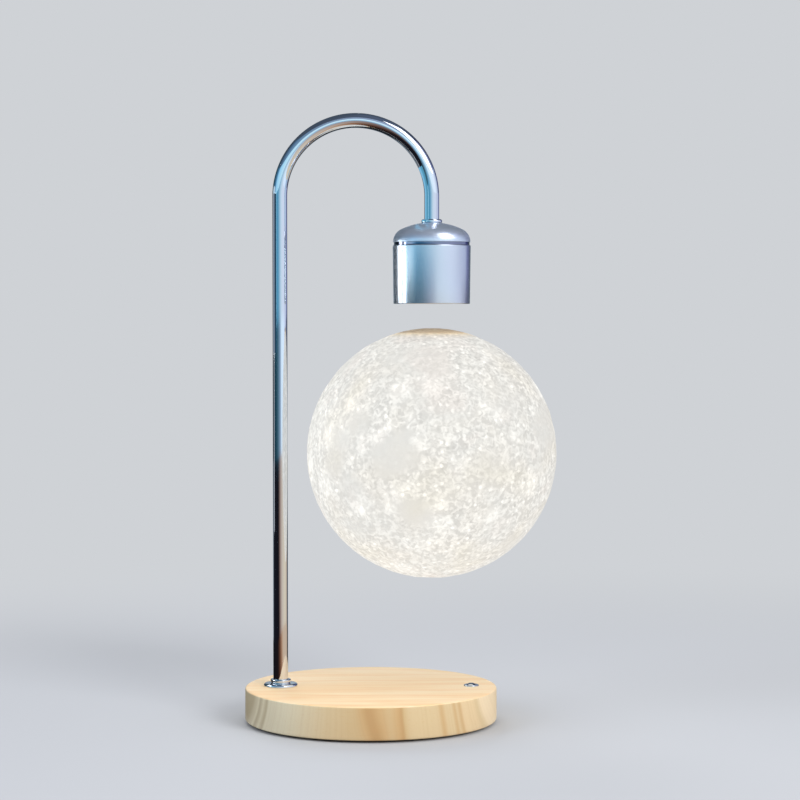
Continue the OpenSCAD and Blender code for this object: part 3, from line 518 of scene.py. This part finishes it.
def lunar_relief_tree():
    """Craters of three sizes pressed into a sphere: the large come in as points, the rest are strewn"""
    tree, given = new_tree(
        "lunar_relief", Craters="Object", Centre="Vector", Radius="Float", Seed="Int", Material="Material",
        Skin="Float", **{"Middle spacing": "Float", "Small spacing": "Float"})
    where = add(tree, "GeometryNodeInputPosition").outputs[0]
    ray = add(tree, "VectorMath", {0: where, 1: given["Centre"]}, operation="SUBTRACT")
    height = add(tree, "VectorMath", {0: ray}, operation="LENGTH")
    floor = add(tree, "Math", {0: given["Radius"], 1: given["Skin"]}, operation="SUBTRACT")
    outer = add(tree, "Math", {0: height.outputs["Value"], 1: floor}, operation="GREATER_THAN")
    large = add(tree, "GeometryNodeObjectInfo", {"Object": given["Craters"]}).outputs["Geometry"]
    pushes = [crater_push(tree, large, where)]
    # of each strewn size: spacing, least and largest radius, and greatest depth in mm
    for number, (spacing, small, big, deep) in enumerate((
            (given["Middle spacing"], 1.9 * MM, 3.9 * MM, 0.16),
            (given["Small spacing"], 1.0 * MM, 1.8 * MM, 0.1))):
        seed = add(tree, "Math", {0: given["Seed"], 1: float(number)}, operation="ADD")
        strewn = add(tree, "GeometryNodeDistributePointsOnFaces", {
            "Mesh": given["Geometry"], "Selection": outer, "Distance Min": spacing,
            "Density Max": 4e6, "Seed": seed}, distribute_method="POISSON").outputs["Points"]
        chance = add(tree, "FunctionNodeRandomValue", {"Seed": seed}).outputs[1]
        skewed = add(tree, "Math", {0: chance, 1: 2.0}, operation="POWER")
        for label, least, most in (("radius", small, big), ("depth_mm", deep * 0.5, deep)):
            size = add(tree, "MapRange", {"Value": skewed, "To": (least, most)})
            strewn = add(tree, "GeometryNodeStoreNamedAttribute", {
                "Geometry": strewn, "Name": label, "Value": size})
        pushes.append(crater_push(tree, strewn, where))
    plain = add(tree, "GeometryNodeInputNamedAttribute", {"Name": "plain"}).outputs["Attribute"]
    calm = add(tree, "MapRange", {"Value": plain, "To": (1.0, 0.15)})
    swell = add(tree, "TexNoise", {"Vector": ray, "Scale": 1 / (5 * MM), "Detail": 3.0})
    uneven = add(tree, "MapRange", {"Value": swell, "From": (0.3, 0.7), "To": (-0.08, 0.08)})
    strewn_push = add(tree, "Math", {0: pushes[1], 1: pushes[2]}, operation="ADD")
    rough = add(tree, "Math", {0: strewn_push, 1: uneven}, operation="ADD")
    push = add(tree, "Math", {0: rough, 1: calm, 2: pushes[0]}, operation="MULTIPLY_ADD")
    metres = add(tree, "Math", {0: push, 1: MM, 2: height.outputs["Value"]}, operation="MULTIPLY_ADD")
    lower = add(tree, "Math", {0: metres, 1: MARGIN}, operation="SUBTRACT")
    held = add(tree, "Math", {0: lower, 1: given["Radius"]}, operation="MINIMUM")
    unit = add(tree, "VectorMath", {0: ray}, operation="NORMALIZE")
    reach = add(tree, "VectorMath", {0: unit, "Scale": held}, operation="SCALE")
    place = add(tree, "VectorMath", {0: reach, 1: given["Centre"]}, operation="ADD")
    kept = add(tree, "GeometryNodeStoreNamedAttribute", {
        "Geometry": given["Geometry"], "Name": "relief_mm", "Value": push, "Selection": outer})
    moved = add(tree, "GeometryNodeSetPosition", {"Geometry": kept, "Selection": outer, "Position": place})
    return close_tree(tree, moved, given["Material"])


SWEPT_TUBE = swept_tube_tree()
LUNAR_RELIEF = lunar_relief_tree()

# ---------- tube, collar and button ----------


def bent_tube():
    """Upright leg, half a circle and the short leg that goes down into the head"""
    turns = np.linspace(math.pi, 0, 161)
    bend = [(LEG_X + ARCH_R + ARCH_R * math.cos(t), 0, Z_SPRING + ARCH_R * math.sin(t)) for t in turns]
    path = [(LEG_X, 0, tube_low.z)] + bend + [(HEAD_X, 0, Z_SEAT - 6.4 * MM)]
    piece = new_piece("bent_tube", path, [], [(i, i + 1) for i in range(len(path) - 1)])
    grow(piece, SWEPT_TUBE, Radius=TUBE_R, Sides=72, Material=FINISH["chrome"])
    tidy(piece, 50)
    wall = piece.modifiers.new("wall", "SOLIDIFY")
    wall.thickness = TUBE_WALL
    wall.offset = -1
    settle(piece)
    smooth(piece.data, 50)
    return piece


def tube_collar():
    """Low flange with a well rounded edge, and a beaded neck on it that the tube goes into"""
    neck, bead = 5.7 * MM, 6.2 * MM
    outline = rounded([
        (TUBE_R + FIT, Z_TOP, 0), (COLLAR_R, Z_TOP, 0.1 * MM), (COLLAR_R, Z_TOP + 1.93 * MM, 1.5 * MM),
        (neck, Z_TOP + 2.2 * MM, 0.3 * MM), (neck, Z_TOP + 2.6 * MM, 0.1 * MM),
        (bead, Z_TOP + 2.9 * MM, 0.2 * MM), (bead, Z_TOP + COLLAR_H, 0.7 * MM),
        (TUBE_R + FIT, Z_TOP + COLLAR_H, 0)], 10)
    return lathe("flanged_tube_collar", outline, (LEG_X, 0))


def button_bezel():
    """Turned ring round the button, with its threaded sleeve through the wood"""
    bore, stem, nest, sleeve, ring = 3.18 * MM, 2.08 * MM, 3.2 * MM, 3.8 * MM, 4.6 * MM
    rim, shelf, under, low = Z_TOP + 1 * MM, Z_TOP - 2 * MM, Z_TOP - 5 * MM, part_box("button_bezel")[0].z
    outline = rounded([
        (bore, rim, 0.15 * MM), (bore, shelf, 0), (stem, shelf, 0), (stem, under, 0), (nest, under, 0),
        (nest, low, 0), (sleeve, low, 0), (sleeve, Z_TOP, 0), (ring, Z_TOP, 0), (ring, rim, 0.6 * MM)], 8)
    return lathe("turned_button_bezel", outline, (BUTTON_X, 0), 96)


def button_cap():
    """Domed cap on its stem"""
    low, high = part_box("button_cap")
    edge_r, stem_r, skirt = 3.1 * MM, 2.0 * MM, 0.9 * MM
    edge = Z_TOP + skirt
    rise = high.z - 0.9 * MM - edge
    ball = edge_r ** 2 / (2 * rise) + rise / 2
    start = math.degrees(math.asin((ball - rise) / ball))
    outline = arc((0, edge + rise - ball), ball, start, 90, 14)[:-1] + [
        (0, edge + rise), (0, low.z), (stem_r, low.z), (stem_r, Z_TOP - skirt), (edge_r, Z_TOP - skirt)]
    return lathe("domed_button_cap", outline, (BUTTON_X, 0), 96)


def button_spring():
    """The coil spring as the frame has it, as a piece of its own"""
    piece = bpy.data.objects.new("coiled_button_spring", frame["nodes"]["button_spring"].data.copy())
    bpy.context.scene.collection.objects.link(piece)
    return tidy(piece, 50, recalculate=False)


# ---------- head ----------


def ferrule():
    """Round bead between the tube and the dome"""
    outline = rounded([
        (TUBE_R + FIT, Z_SEAT, 0), (FERRULE_R - 0.5 * MM, Z_SEAT, 0.1 * MM),
        (FERRULE_R, Z_SEAT + 0.5 * MM, 0.4 * MM), (FERRULE_R, Z_SEAT + FERRULE_H, 1.0 * MM),
        (TUBE_R + FIT, Z_SEAT + FERRULE_H, 0)], 10)
    return lathe("beaded_ferrule", outline, (HEAD_X, 0))


def dome():
    """Spun dome: a round shoulder that runs into a flat crown"""
    crown_r = ((DOME_R - SHOULDER_R) ** 2 + DOME_H ** 2 - SHOULDER_R ** 2) / (2 * (DOME_H - SHOULDER_R))
    crown_z = DOME_H - crown_r
    start = math.degrees(math.atan2(-crown_z, DOME_R - SHOULDER_R))
    hole = TUBE_R + FIT

    def skin(inset, cut):
        top = math.degrees(math.asin((cut - crown_z) / (crown_r - inset)))
        shoulder = arc((DOME_R - SHOULDER_R, 0), SHOULDER_R - inset, 0, start, 24)
        crown = arc((0, crown_z), crown_r - inset, start, top, 12)
        return [(r, Z_RIM + z) for r, z in shoulder + crown[1:]]
    seat = Z_SEAT - Z_RIM
    inner_seat = seat - DOME_WALL - 0.1 * MM
    outline = skin(0, seat) + [(hole, Z_SEAT), (hole, Z_RIM + inner_seat)]
    outline += skin(DOME_WALL, inner_seat)[::-1]
    return lathe("spun_head_dome", outline, (HEAD_X, 0))


def trim_band():
    """Polished band that stands back between the dome and the body, its tone darkened as painted shade of
    the gap
    """
    inner, outer, neck, edge, lip = 19.5 * MM, HEAD_BORE - FIT, 21.3 * MM, HEAD_R - 0.7 * MM, 1.2 * MM
    outline = rounded([
        (inner, Z_BODY_TOP - lip, 0), (outer, Z_BODY_TOP - lip, 0), (outer, Z_BODY_TOP, 0),
        (edge, Z_BODY_TOP, 0.15 * MM), (edge, Z_RIM, 0.15 * MM), (neck, Z_RIM, 0), (neck, Z_RIM + lip, 0),
        (inner, Z_RIM + lip, 0)], 5)
    return lathe("polished_trim_band", outline, (HEAD_X, 0))


def head_sleeve():
    """Turned body of the head, a little narrower at its foot, with softened edges"""
    lip, seat = HEAD_FOOT_R - 1 * MM, Z_HEAD + 2.6 * MM
    outline = rounded([
        (lip, Z_HEAD, 0.1 * MM), (HEAD_FOOT_R, Z_HEAD, 0.5 * MM), (HEAD_R, Z_BODY_TOP, 0.5 * MM),
        (HEAD_BORE, Z_BODY_TOP, 0.2 * MM), (HEAD_BORE, seat, 0), (lip, seat, 0)], 6)
    return lathe("turned_head_sleeve", outline, (HEAD_X, 0))


# ---------- moon ----------

# the wide smooth plains: longitude from the front, latitude, radius in degrees, stretch and strength
PLAINS = [
    (-17, 3, 10.5, 1.05, 1.0), (-10, -23, 7, 1.25, 1.0), (-37, 16, 5.5, 1.2, 0.8), (-47, 8, 5, 1.3, 0.8),
    (-50, -2, 7, 1.1, 0.7), (-41, -12, 6, 1.2, 0.7), (-45, -33, 6, 1.3, 0.5), (27, -2, 6, 1.3, 0.45),
    (36, 28, 8, 1.2, 0.4), (-13, 50, 10, 1.7, 0.6), (12, 20, 6, 1.5, 0.35), (70, 12, 11, 1.3, 0.8),
    (96, -12, 15, 1.1, 0.9), (124, 22, 10, 1.4, 0.8), (150, -6, 17, 1.2, 1.0), (-165, 24, 9, 1.0, 0.7),
    (-140, -18, 13, 1.3, 0.9), (-112, 10, 10, 1.2, 0.8), (-84, -20, 8, 1.0, 0.7), (176, -42, 10, 1.3, 0.7),
    (60, -44, 8, 1.2, 0.6), (-80, 46, 9, 1.3, 0.6)]

# young craters, whose thin floors and thrown-out ground let more light through: longitude, latitude, radius
YOUNG = [
    (-6, 8, 3.2), (-19, 15, 2.8), (-11, 20, 2.2), (-16, 32, 5), (-1, 33, 4), (-26, 10, 3.4), (-34, 4, 2.6),
    (-56, 10, 6), (-44, 24, 5), (-60, -12, 5), (-38, -22, 5), (-21, -21, 4), (-15, -14, 4.5), (3, -20, 4),
    (4, -30, 5), (-4, -42, 6), (12, -1, 2.6), (25, 24, 3), (32, 20, 3), (39, 9, 3.4), (30, -25, 4),
    (52, -12, 5), (80, 30, 5), (110, -30, 6), (138, 8, 4), (168, 30, 6), (-150, 5, 5), (-125, -35, 6),
    (-100, 28, 4), (-75, -5, 5), (125, -55, 7), (-30, -62, 6), (45, 55, 5), (-120, 58, 6)]

GOLDEN = math.pi * (3 - math.sqrt(5))


def crater_points():
    """The large craters of the moon, where the shell has them"""
    def lot(i, row):
        value = 4375.85 * math.sin(math.radians(128.5 * i + 311.7 * row))
        return value - math.floor(value)
    ball, count, least, most = MOON_R / MM, 110, 2.2, 8.5
    free = math.asin((CAP_R / MM + most) / ball) + math.radians(1)
    places, radii, depths = [], [], []
    for i in range(count):
        tilt = math.acos(1 - 2 * (i + 0.5) / count) + math.radians(2.2) * (2 * lot(i, 2) - 1)
        share = lot(i, 1) ** 2.2
        radius = least + (most - least) * share
        if free < tilt < math.radians(176):
            turn = math.radians(34) + GOLDEN * i
            ray = Vector((math.sin(tilt) * math.cos(turn), math.sin(tilt) * math.sin(turn), math.cos(tilt)))
            places.append(MOON_CENTRE + ray * MOON_R)
            radii.append(radius * MM)
            depths.append(ball - math.sqrt(ball ** 2 - radius ** 2) + 0.35 + 0.4 * share)
    points = new_piece("crater_points", places, [])
    for label, values in (("radius", radii), ("depth_mm", depths)):
        points.data.attributes.new(label, "FLOAT", "POINT").data.foreach_set("value", values)
    return points


def sphere_grid(cells, hole_rings):
    """Even quads on a unit sphere. On top they turn into rings round the pole, without the innermost"""
    line = np.linspace(-1, 1, cells + 1)
    a, b = np.meshgrid(line, line, indexing="ij")
    u, v = np.tan(a * math.pi / 4), np.tan(b * math.pi / 4)
    one = np.ones_like(u)
    sides = [(u, v, one), (v, u, -one), (one, u, v), (-one, v, u), (v, one, u), (u, -one, v)]
    ring = np.maximum(abs(a), abs(b))
    safe = np.where(ring == 0, 1, ring)
    turn = np.where(
        abs(a) >= abs(b), math.pi / 4 * b / safe * np.sign(a) + np.where(a < 0, math.pi, 0),
        math.pi / 2 * np.sign(b) - math.pi / 4 * a / safe * np.sign(b))
    cube_tilt = np.arctan(np.hypot(u, v))
    mix = np.clip((ring - 0.4) / 0.6, 0, 1)
    mix = mix * mix * (3 - 2 * mix)
    tilt = (1 - mix) * CAP_ANGLE * ring * cells / 2 / hole_rings + mix * cube_tilt
    sides[0] = (np.sin(tilt) * np.cos(turn), np.sin(tilt) * np.sin(turn), np.cos(tilt))
    verts, faces = [], []
    index = np.arange((cells + 1) ** 2).reshape(cells + 1, cells + 1)
    for number, side in enumerate(sides):
        points = np.stack([c.ravel() for c in side], -1)
        verts.append(points / np.linalg.norm(points, axis=1)[:, None])
        first = index + number * index.size
        quads = np.stack([first[:-1, :-1], first[1:, :-1], first[1:, 1:], first[:-1, 1:]], -1)
        if number == 0:
            middle = abs(np.arange(cells) + 0.5 - cells / 2)
            quads = quads[np.maximum.outer(middle, middle) > hole_rings]
        faces.append(quads.reshape(-1, 4))
    return np.concatenate(verts), np.concatenate(faces)


def mark_plains(piece):
    """Attributes for the finish: how far a place is in a plain or a young crater, or near the cap"""
    count = len(piece.data.vertices)
    places = np.empty(count * 3)
    piece.data.vertices.foreach_get("co", places)
    rays = places.reshape(-1, 3) - np.array(MOON_CENTRE)
    rays /= np.linalg.norm(rays, axis=1)[:, None]
    coast = sum(np.sin(rays @ np.array(wave) + phase) for wave, phase in (
        ((9, 5, -7), 0.4), ((-6, 12, 8), 1.7), ((15, -9, 11), 2.9), ((-21, 17, 19), 0.9))) / 4

    def way(east, north):
        """Unit vectors outwards, eastwards and northwards at a longitude and latitude of the moon"""
        east, north = math.radians(east), math.radians(north)
        level = math.cos(north)
        out = np.array([level * math.sin(east), -level * math.cos(east), math.sin(north)])
        side = np.array([math.cos(east), math.sin(east), 0])
        return out, side, np.cross(side, out)

    plain, fresh = np.zeros(count), np.zeros(count)
    for east, north, size, stretch, strength in PLAINS:
        out, side, up = way(east, north)
        away = np.hypot(rays @ side / stretch, rays @ up) + np.where(rays @ out > 0, 0, 9)
        share = away / math.sin(math.radians(size)) + 0.35 * coast
        plain = np.maximum(plain, strength * np.clip((1.15 - share) / 0.35, 0, 1))
    for east, north, size in YOUNG:
        share = np.arccos(np.clip(rays @ way(east, north)[0], -1, 1)) / math.radians(size) + 0.5 * coast
        fresh = np.maximum(fresh, np.clip((1.3 - share) / 0.8, 0, 1))
    plain *= 1 - 0.8 * fresh
    tilt = np.arccos(np.clip(rays[:, 2], -1, 1))
    shade = np.clip(1 - (tilt - CAP_ANGLE) / math.radians(9), 0, 1) ** 2
    for label, values in (("plain", plain), ("fresh", fresh * (1 - 0.5 * plain)), ("cap_shade", shade),
                          ("relief_mm", np.zeros(count))):
        piece.data.attributes.new(label, "FLOAT", "POINT").data.foreach_set("value", values)


def press_craters(piece, craters, seed, material):
    mark_plains(piece)
    highest = MOON_R - 0.005 * MM
    grow(piece, LUNAR_RELIEF, Craters=craters, Centre=MOON_CENTRE, Radius=highest, Seed=seed,
         Material=material, Skin=0.05 * MM, **{"Middle spacing": 6.2 * MM, "Small spacing": 2.7 * MM})
    smooth(piece.data, 40)
    return piece


def moon_shell(craters):
    """Printed shell: an even grid outside, and inside the ledge, the ring below it and the wall"""
    cells, hole_rings = 120, 20
    verts, faces = sphere_grid(cells, hole_rings)
    outside = verts * MOON_R + np.array(MOON_CENTRE)
    z_ledge = MOON_Z + math.sqrt(MOON_R ** 2 - CAP_R ** 2) - CAP_EDGE
    inner_r = MOON_R - MOON_WALL
    first = math.degrees(math.acos(LEDGE_RING_R / inner_r))
    rim = (MOON_R * math.sin(CAP_ANGLE), MOON_Z + MOON_R * math.cos(CAP_ANGLE))
    inside = [rim, (CAP_R, z_ledge), (LEDGE_BORE, z_ledge), (LEDGE_BORE, z_ledge - LEDGE_RING_H),
              (LEDGE_RING_R, z_ledge - LEDGE_RING_H)]
    inside += arc((0, MOON_Z), inner_r, first, -90, 40)[:-1] + [(0, MOON_Z - inner_r)]
    wall_verts, wall_faces = turned(inside, (HEAD_X, 0), 8 * hole_rings, closed=False)
    faces = [tuple(f) for f in faces] + [tuple(c + len(outside) for c in f) for f in wall_faces]
    piece = new_piece("cratered_moon_shell", list(outside) + wall_verts, faces)
    tidy(piece, 40)
    return press_craters(piece, craters, 7, FINISH["moon_plastic"])


def moon_cap(craters):
    """Round cap that closes the shell and carries the magnet's holder"""
    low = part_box("moon_cap")[0].z
    edge_r = CAP_R - FIT
    tilt = math.degrees(math.asin((edge_r - 0.2 * MM) / MOON_R))
    crown = arc((0, MOON_Z), MOON_R, 90 - tilt, 90, 26)[:-1] + [(0, MOON_Z + MOON_R)]
    outline = crown[::-1] + [(edge_r, crown[0][1] - 0.25 * MM), (edge_r, low), (0, low)]
    piece = lathe("printed_moon_cap", outline, (HEAD_X, 0), 160)
    return press_craters(piece, craters, 31, FINISH["cap_plastic"])


# ---------- wooden base ----------


def wooden_base():
    """The base as the frame has it, welded so that its round faces shade as one"""
    source = frame["nodes"]["wooden_base"]
    piece = bpy.data.objects.new("turned_pine_base", source.data.copy())
    bpy.context.scene.collection.objects.link(piece)
    return tidy(piece, 30, recalculate=False)


# ---------- put together ----------

craters = crater_points()
PIECES = [
    (wooden_base(), "root", "wood", ["wooden_base"]),
    (bent_tube(), "root", "chrome", ["tube"]),
    (tube_collar(), "root", "chrome", ["tube_collar"]),
    (ferrule(), "root", "chrome", ["head_ferrule"]),
    (dome(), "root", "satin_aluminium", ["head_dome"]),
    (trim_band(), "root", "polished_aluminium", ["trim_ring"]),
    (head_sleeve(), "root", "satin_aluminium", ["head_body"]),
    (button_bezel(), "root", "chrome", ["button_bezel"]),
    (button_cap(), "button", "chrome", ["button_cap"]),
    (button_spring(), "root", "steel", ["button_spring"]),
    (moon_shell(craters), "moon", "moon_plastic", ["moon_shell"]),
    (moon_cap(craters), "moon", "cap_plastic", ["moon_cap"]),
]
bpy.data.objects.remove(craters)

# the dome is the same metal as its slot says, blasted coarser than the sleeve
COARSER = {"spun_head_dome": "blasted_aluminium"}

for piece, body, slot, nodes in PIECES:
    dress(piece, FINISH[COARSER.get(piece.name, slot)])
    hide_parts(*nodes)
    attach(piece, body)

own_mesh(bpy.data.objects["coiled_button_spring"])

replaced = {node for *_, nodes in PIECES for node in nodes}
for row in frame["record"]["subparts"]:
    if row["node"] not in replaced:
        dress(frame["nodes"][row["node"]], FINISH[row["material_slot"]])

# ---------- floor, light and camera ----------

scene = bpy.context.scene
PALE = colour("#cfd2d6")


def seen_directly(tree):
    """1 for what the camera sees, also in metal and glass, and 0 for the light that falls on things"""
    path = add(tree, "LightPath").outputs
    first = add(tree, "Math", {0: path["Is Camera Ray"], 1: path["Is Glossy Ray"]}, operation="MAXIMUM")
    return add(tree, "Math", {0: first, 1: path["Is Transmission Ray"]}, operation="MAXIMUM")


def floor():
    """Pale floor: it takes shadows near the lamp and runs into the background further out"""
    piece = new_piece("floor", [(-6, -6, 0), (6, -6, 0), (6, 6, 0), (-6, 6, 0)], [(0, 1, 2, 3)])
    material, tree, shader, place = begin("pale_floor")
    feed(tree, shader, {"Base Color": colour("#c0c2c6"), "Roughness": 0.9, "Specular IOR Level": 0})
    away = add(tree, "VectorMath", {0: place}, operation="LENGTH")
    far = add(tree, "MapRange", {
        "Value": away.outputs["Value"], "From": (0.25, 0.9)}, interpolation_type="SMOOTHSTEP")
    share = add(tree, "Math", {0: far, 1: seen_directly(tree)}, operation="MULTIPLY")
    glow = add(tree, "Emission", {"Color": PALE, "Strength": 1.0})
    mixed = add(tree, "MixShader", {0: share, 1: shader, 2: glow})
    feed(tree, tree.nodes["Material Output"], {"Surface": mixed})
    dress(piece, material)


def card(name, start, end, near, far, stops, strength=1.5):
    """A card that shows in gloss alone, bent round between two rims (radius, height). Its tones go by
    angle, in degrees from the front and positive to the right"""
    turns = np.radians(np.linspace(start, end, max(4, int((end - start) / 6)) + 1))
    verts = [(r * math.sin(t), -r * math.cos(t), z) for t in turns for r, z in (near, far)]
    faces = [(i, i + 2, i + 3, i + 1) for i in range(0, 2 * len(turns) - 2, 2)]
    piece = new_piece(name, verts, faces)
    material, tree, _, place = begin(name)
    axes = add(tree, "SeparateXYZ", {"Vector": place}).outputs
    front = add(tree, "Math", {0: axes["Y"], 1: -1.0}, operation="MULTIPLY")
    turn = add(tree, "Math", {0: axes["X"], 1: front}, operation="ARCTAN2")
    share = add(tree, "MapRange", {"Value": turn, "From": (math.radians(start), math.radians(end))})
    tone = add(tree, "ValToRGB", {"Fac": share},
               stops=[((angle - start) / (end - start), hue) for angle, hue in stops])
    glow = add(tree, "Emission", {"Color": tone, "Strength": strength})
    feed(tree, tree.nodes["Material Output"], {"Surface": glow})
    material.cycles.emission_sampling = "NONE"
    piece.visible_camera = piece.visible_diffuse = piece.visible_shadow = piece.visible_transmission = False
    dress(piece, material)


def soft_lamp(name, place, target, size, watts, tone="#ffffff"):
    light = bpy.data.lights.new(name, "AREA")
    light.shape = "DISK"
    light.size = size
    light.energy = watts
    light.color = colour(tone)[:3]
    lamp = bpy.data.objects.new(name, light)
    lamp.location = place
    lamp.rotation_euler = (Vector(target) - Vector(place)).to_track_quat("-Z", "Y").to_euler()
    lamp.visible_glossy = False  # the metal mirrors the cards, and not the lamps
    scene.collection.objects.link(lamp)


def background():
    world = bpy.data.worlds.new("pale_studio")
    world.use_nodes = True
    tree = world.node_tree
    tree.nodes.clear()
    dim = add(tree, "Background", {"Color": colour("#f2f5fa"), "Strength": 0.5})
    pale = add(tree, "Background", {"Color": PALE, "Strength": 1.0})
    both = add(tree, "MixShader", {0: seen_directly(tree), 1: dim, 2: pale})
    add(tree, "OutputWorld", {"Surface": both})
    scene.world = world


floor()
background()
REACH = 1.2
LOW_TONES = [
    (-179, "#333b43"), (-150, "#39424a"), (-136, "#8d98a2"), (-124, "#15171e"), (-30, "#121016"),
    (-26, "#302826"), (-11, "#6b5853"), (4, "#9c8a80"), (30, "#b8ada0"), (80, "#c8bda8"), (116, "#a8988c"),
    (135, "#39424a"), (179, "#333b43")]

# what the metal mirrors in place of the pale background: rings of cards from the table up to the ceiling
for name, near, far, tones in [
        ("table_card", (0.38, 0.0006), (REACH, 0.0006), LOW_TONES),
        ("mat_card", (0.085, 0.0006), (0.38, 0.0006), [
            (-179, "#23282d"), (-120, "#101116"), (-45, "#191214"), (-22, "#4e3226"), (0, "#835d46"),
            (20, "#a98c74"), (40, "#b5a08c"), (110, "#b5a08c"), (140, "#3b3634"), (179, "#23282d")]),
        ("low_card", (REACH, 0), (REACH, 0.084), LOW_TONES),
        ("stem_card", (REACH, 0.084), (REACH, 0.235), [
            (-179, "#8d9aa6"), (-150, "#3a444c"), (-126, "#0e161a"), (-75, "#1c3a48"), (-61, "#203e4a"),
            (-44, "#2a4c5c"), (-27, "#486676"), (-11, "#667f94"), (4, "#8396ac"), (19, "#c4d6e4"),
            (52, "#cbdcec"), (72, "#bfcce2"), (91, "#b8c0d6"), (114, "#7c8096"), (126, "#35374f"),
            (150, "#3a444c"), (179, "#8d9aa6")]),
        ("middle_card", (REACH, 0.235), (REACH, 0.42), [
            (-179, "#8d9aa6"), (-150, "#3a444c"), (-126, "#0e161a"), (-80, "#bce8ff"), (-67, "#dcf6ff"),
            (-58, "#a8daf0"), (-46, "#4888a8"), (-28, "#4c86a2"), (-8, "#80a8c0"), (8, "#a4bccc"),
            (28, "#bccad8"), (62, "#c2c9da"), (90, "#aeb6ca"), (116, "#a8b0ca"), (128, "#4d5286"),
            (150, "#3a444c"), (179, "#8d9aa6")]),
        ("bright_card", (REACH, 0.42), (REACH, 0.8), [
            (-179, "#5a6570"), (-128, "#1b363c"), (-84, "#3f6b8c"), (-60, "#8cc0dc"), (-24, "#a8cfe0"),
            (8, "#c4dce8"), (60, "#d4deec"), (100, "#aab6ca"), (125, "#3c406e"), (179, "#5a6570")]),
        ("high_card", (REACH, 0.8), (REACH, 1.5), [
            (-179, "#3c4653"), (-125, "#2e3640"), (-90, "#3c5268"), (-50, "#5a7894"), (-15, "#74869c"),
            (10, "#8493ad"), (85, "#a0a8c6"), (112, "#474c66"), (140, "#2c303c"), (179, "#3c4653")]),
        ("ceiling_card", (REACH, 1.5), (0, 1.5), [
            (-179, "#3c4654"), (-60, "#3c4654"), (60, "#4c566a"), (179, "#3c4654")])]:
    card(name, -179.9, 179.9, near, far, tones)

# a bright strip and a faint line at the left, and a window at the right
card("left_strip", -115, -83, (0.32, 0.22), (0.32, 0.32), [(-115, "#ffffff"), (-83, "#e4f6ff")], 8.0)
card("left_strip_top", -115, -83, (0.32, 0.32), (0.32, 0.365), [(-115, "#d8ecfa"), (-83, "#c8e2f4")], 1.0)
card("left_line", -108, -97, (0.32, 0.09), (0.32, 0.22), [(-108, "#ccd0d8"), (-97, "#ccd0d8")], 1.0)
# two narrow cards 6 mm beside the tube's legs, which keep the bright strip out of what the legs mirror
card("leg_flag", -93.1, -81, (0.0652, 0.222), (0.0652, 0.318), [
    (-93.1, "#99a3b1"), (-87.6, "#99a3b1"), (-86.8, "#2c465b"), (-84.5, "#2c4a5e"), (-81, "#336380")], 1.0)
card("short_leg_flag", 69, 97.7, (0.0268, 0.3005), (0.0268, 0.332), [
    (69, "#5f9cb8"), (82, "#63b0d0"), (87, "#8fd0f2"), (97.7, "#8fd0f2")], 1.0)
card("right_window", 30, 74, (0.6, 0.52), (0.6, 1.3), [(30, "#ffffff"), (74, "#f3f2ff")], 4.0)
soft_lamp("key", (1.04, -1.36, 0.86), (0, 0, 0.12), 0.9, 24.5)
soft_lamp("fill", (-1.3, -0.8, 0.8), (0, 0, 0.15), 0.9, 6.5, "#e6eeff")
soft_lamp("back", (-0.4, 1.4, 0.85), (0, 0, 0.05), 1.0, 8)
soft_lamp("overhead", (0.1, -0.1, 1.5), (0.02, 0, 0), 1.3, 6.5)

# place, tilt and lens are fitted to the moon's outline, the base's two ellipses and the head's edges
camera_data = bpy.data.cameras.new("camera")
camera_data.lens = 104.95
camera_data.sensor_width = 36
camera_data.sensor_fit = "HORIZONTAL"
camera_data.clip_end = 100
camera = bpy.data.objects.new("camera", camera_data)
camera.location = (0.0175, -1.4, 0.2485)
camera.rotation_euler = (math.pi / 2 - 0.0391, 0, 0)
scene.collection.objects.link(camera)
scene.camera = camera
scene.view_settings.view_transform = "Standard"
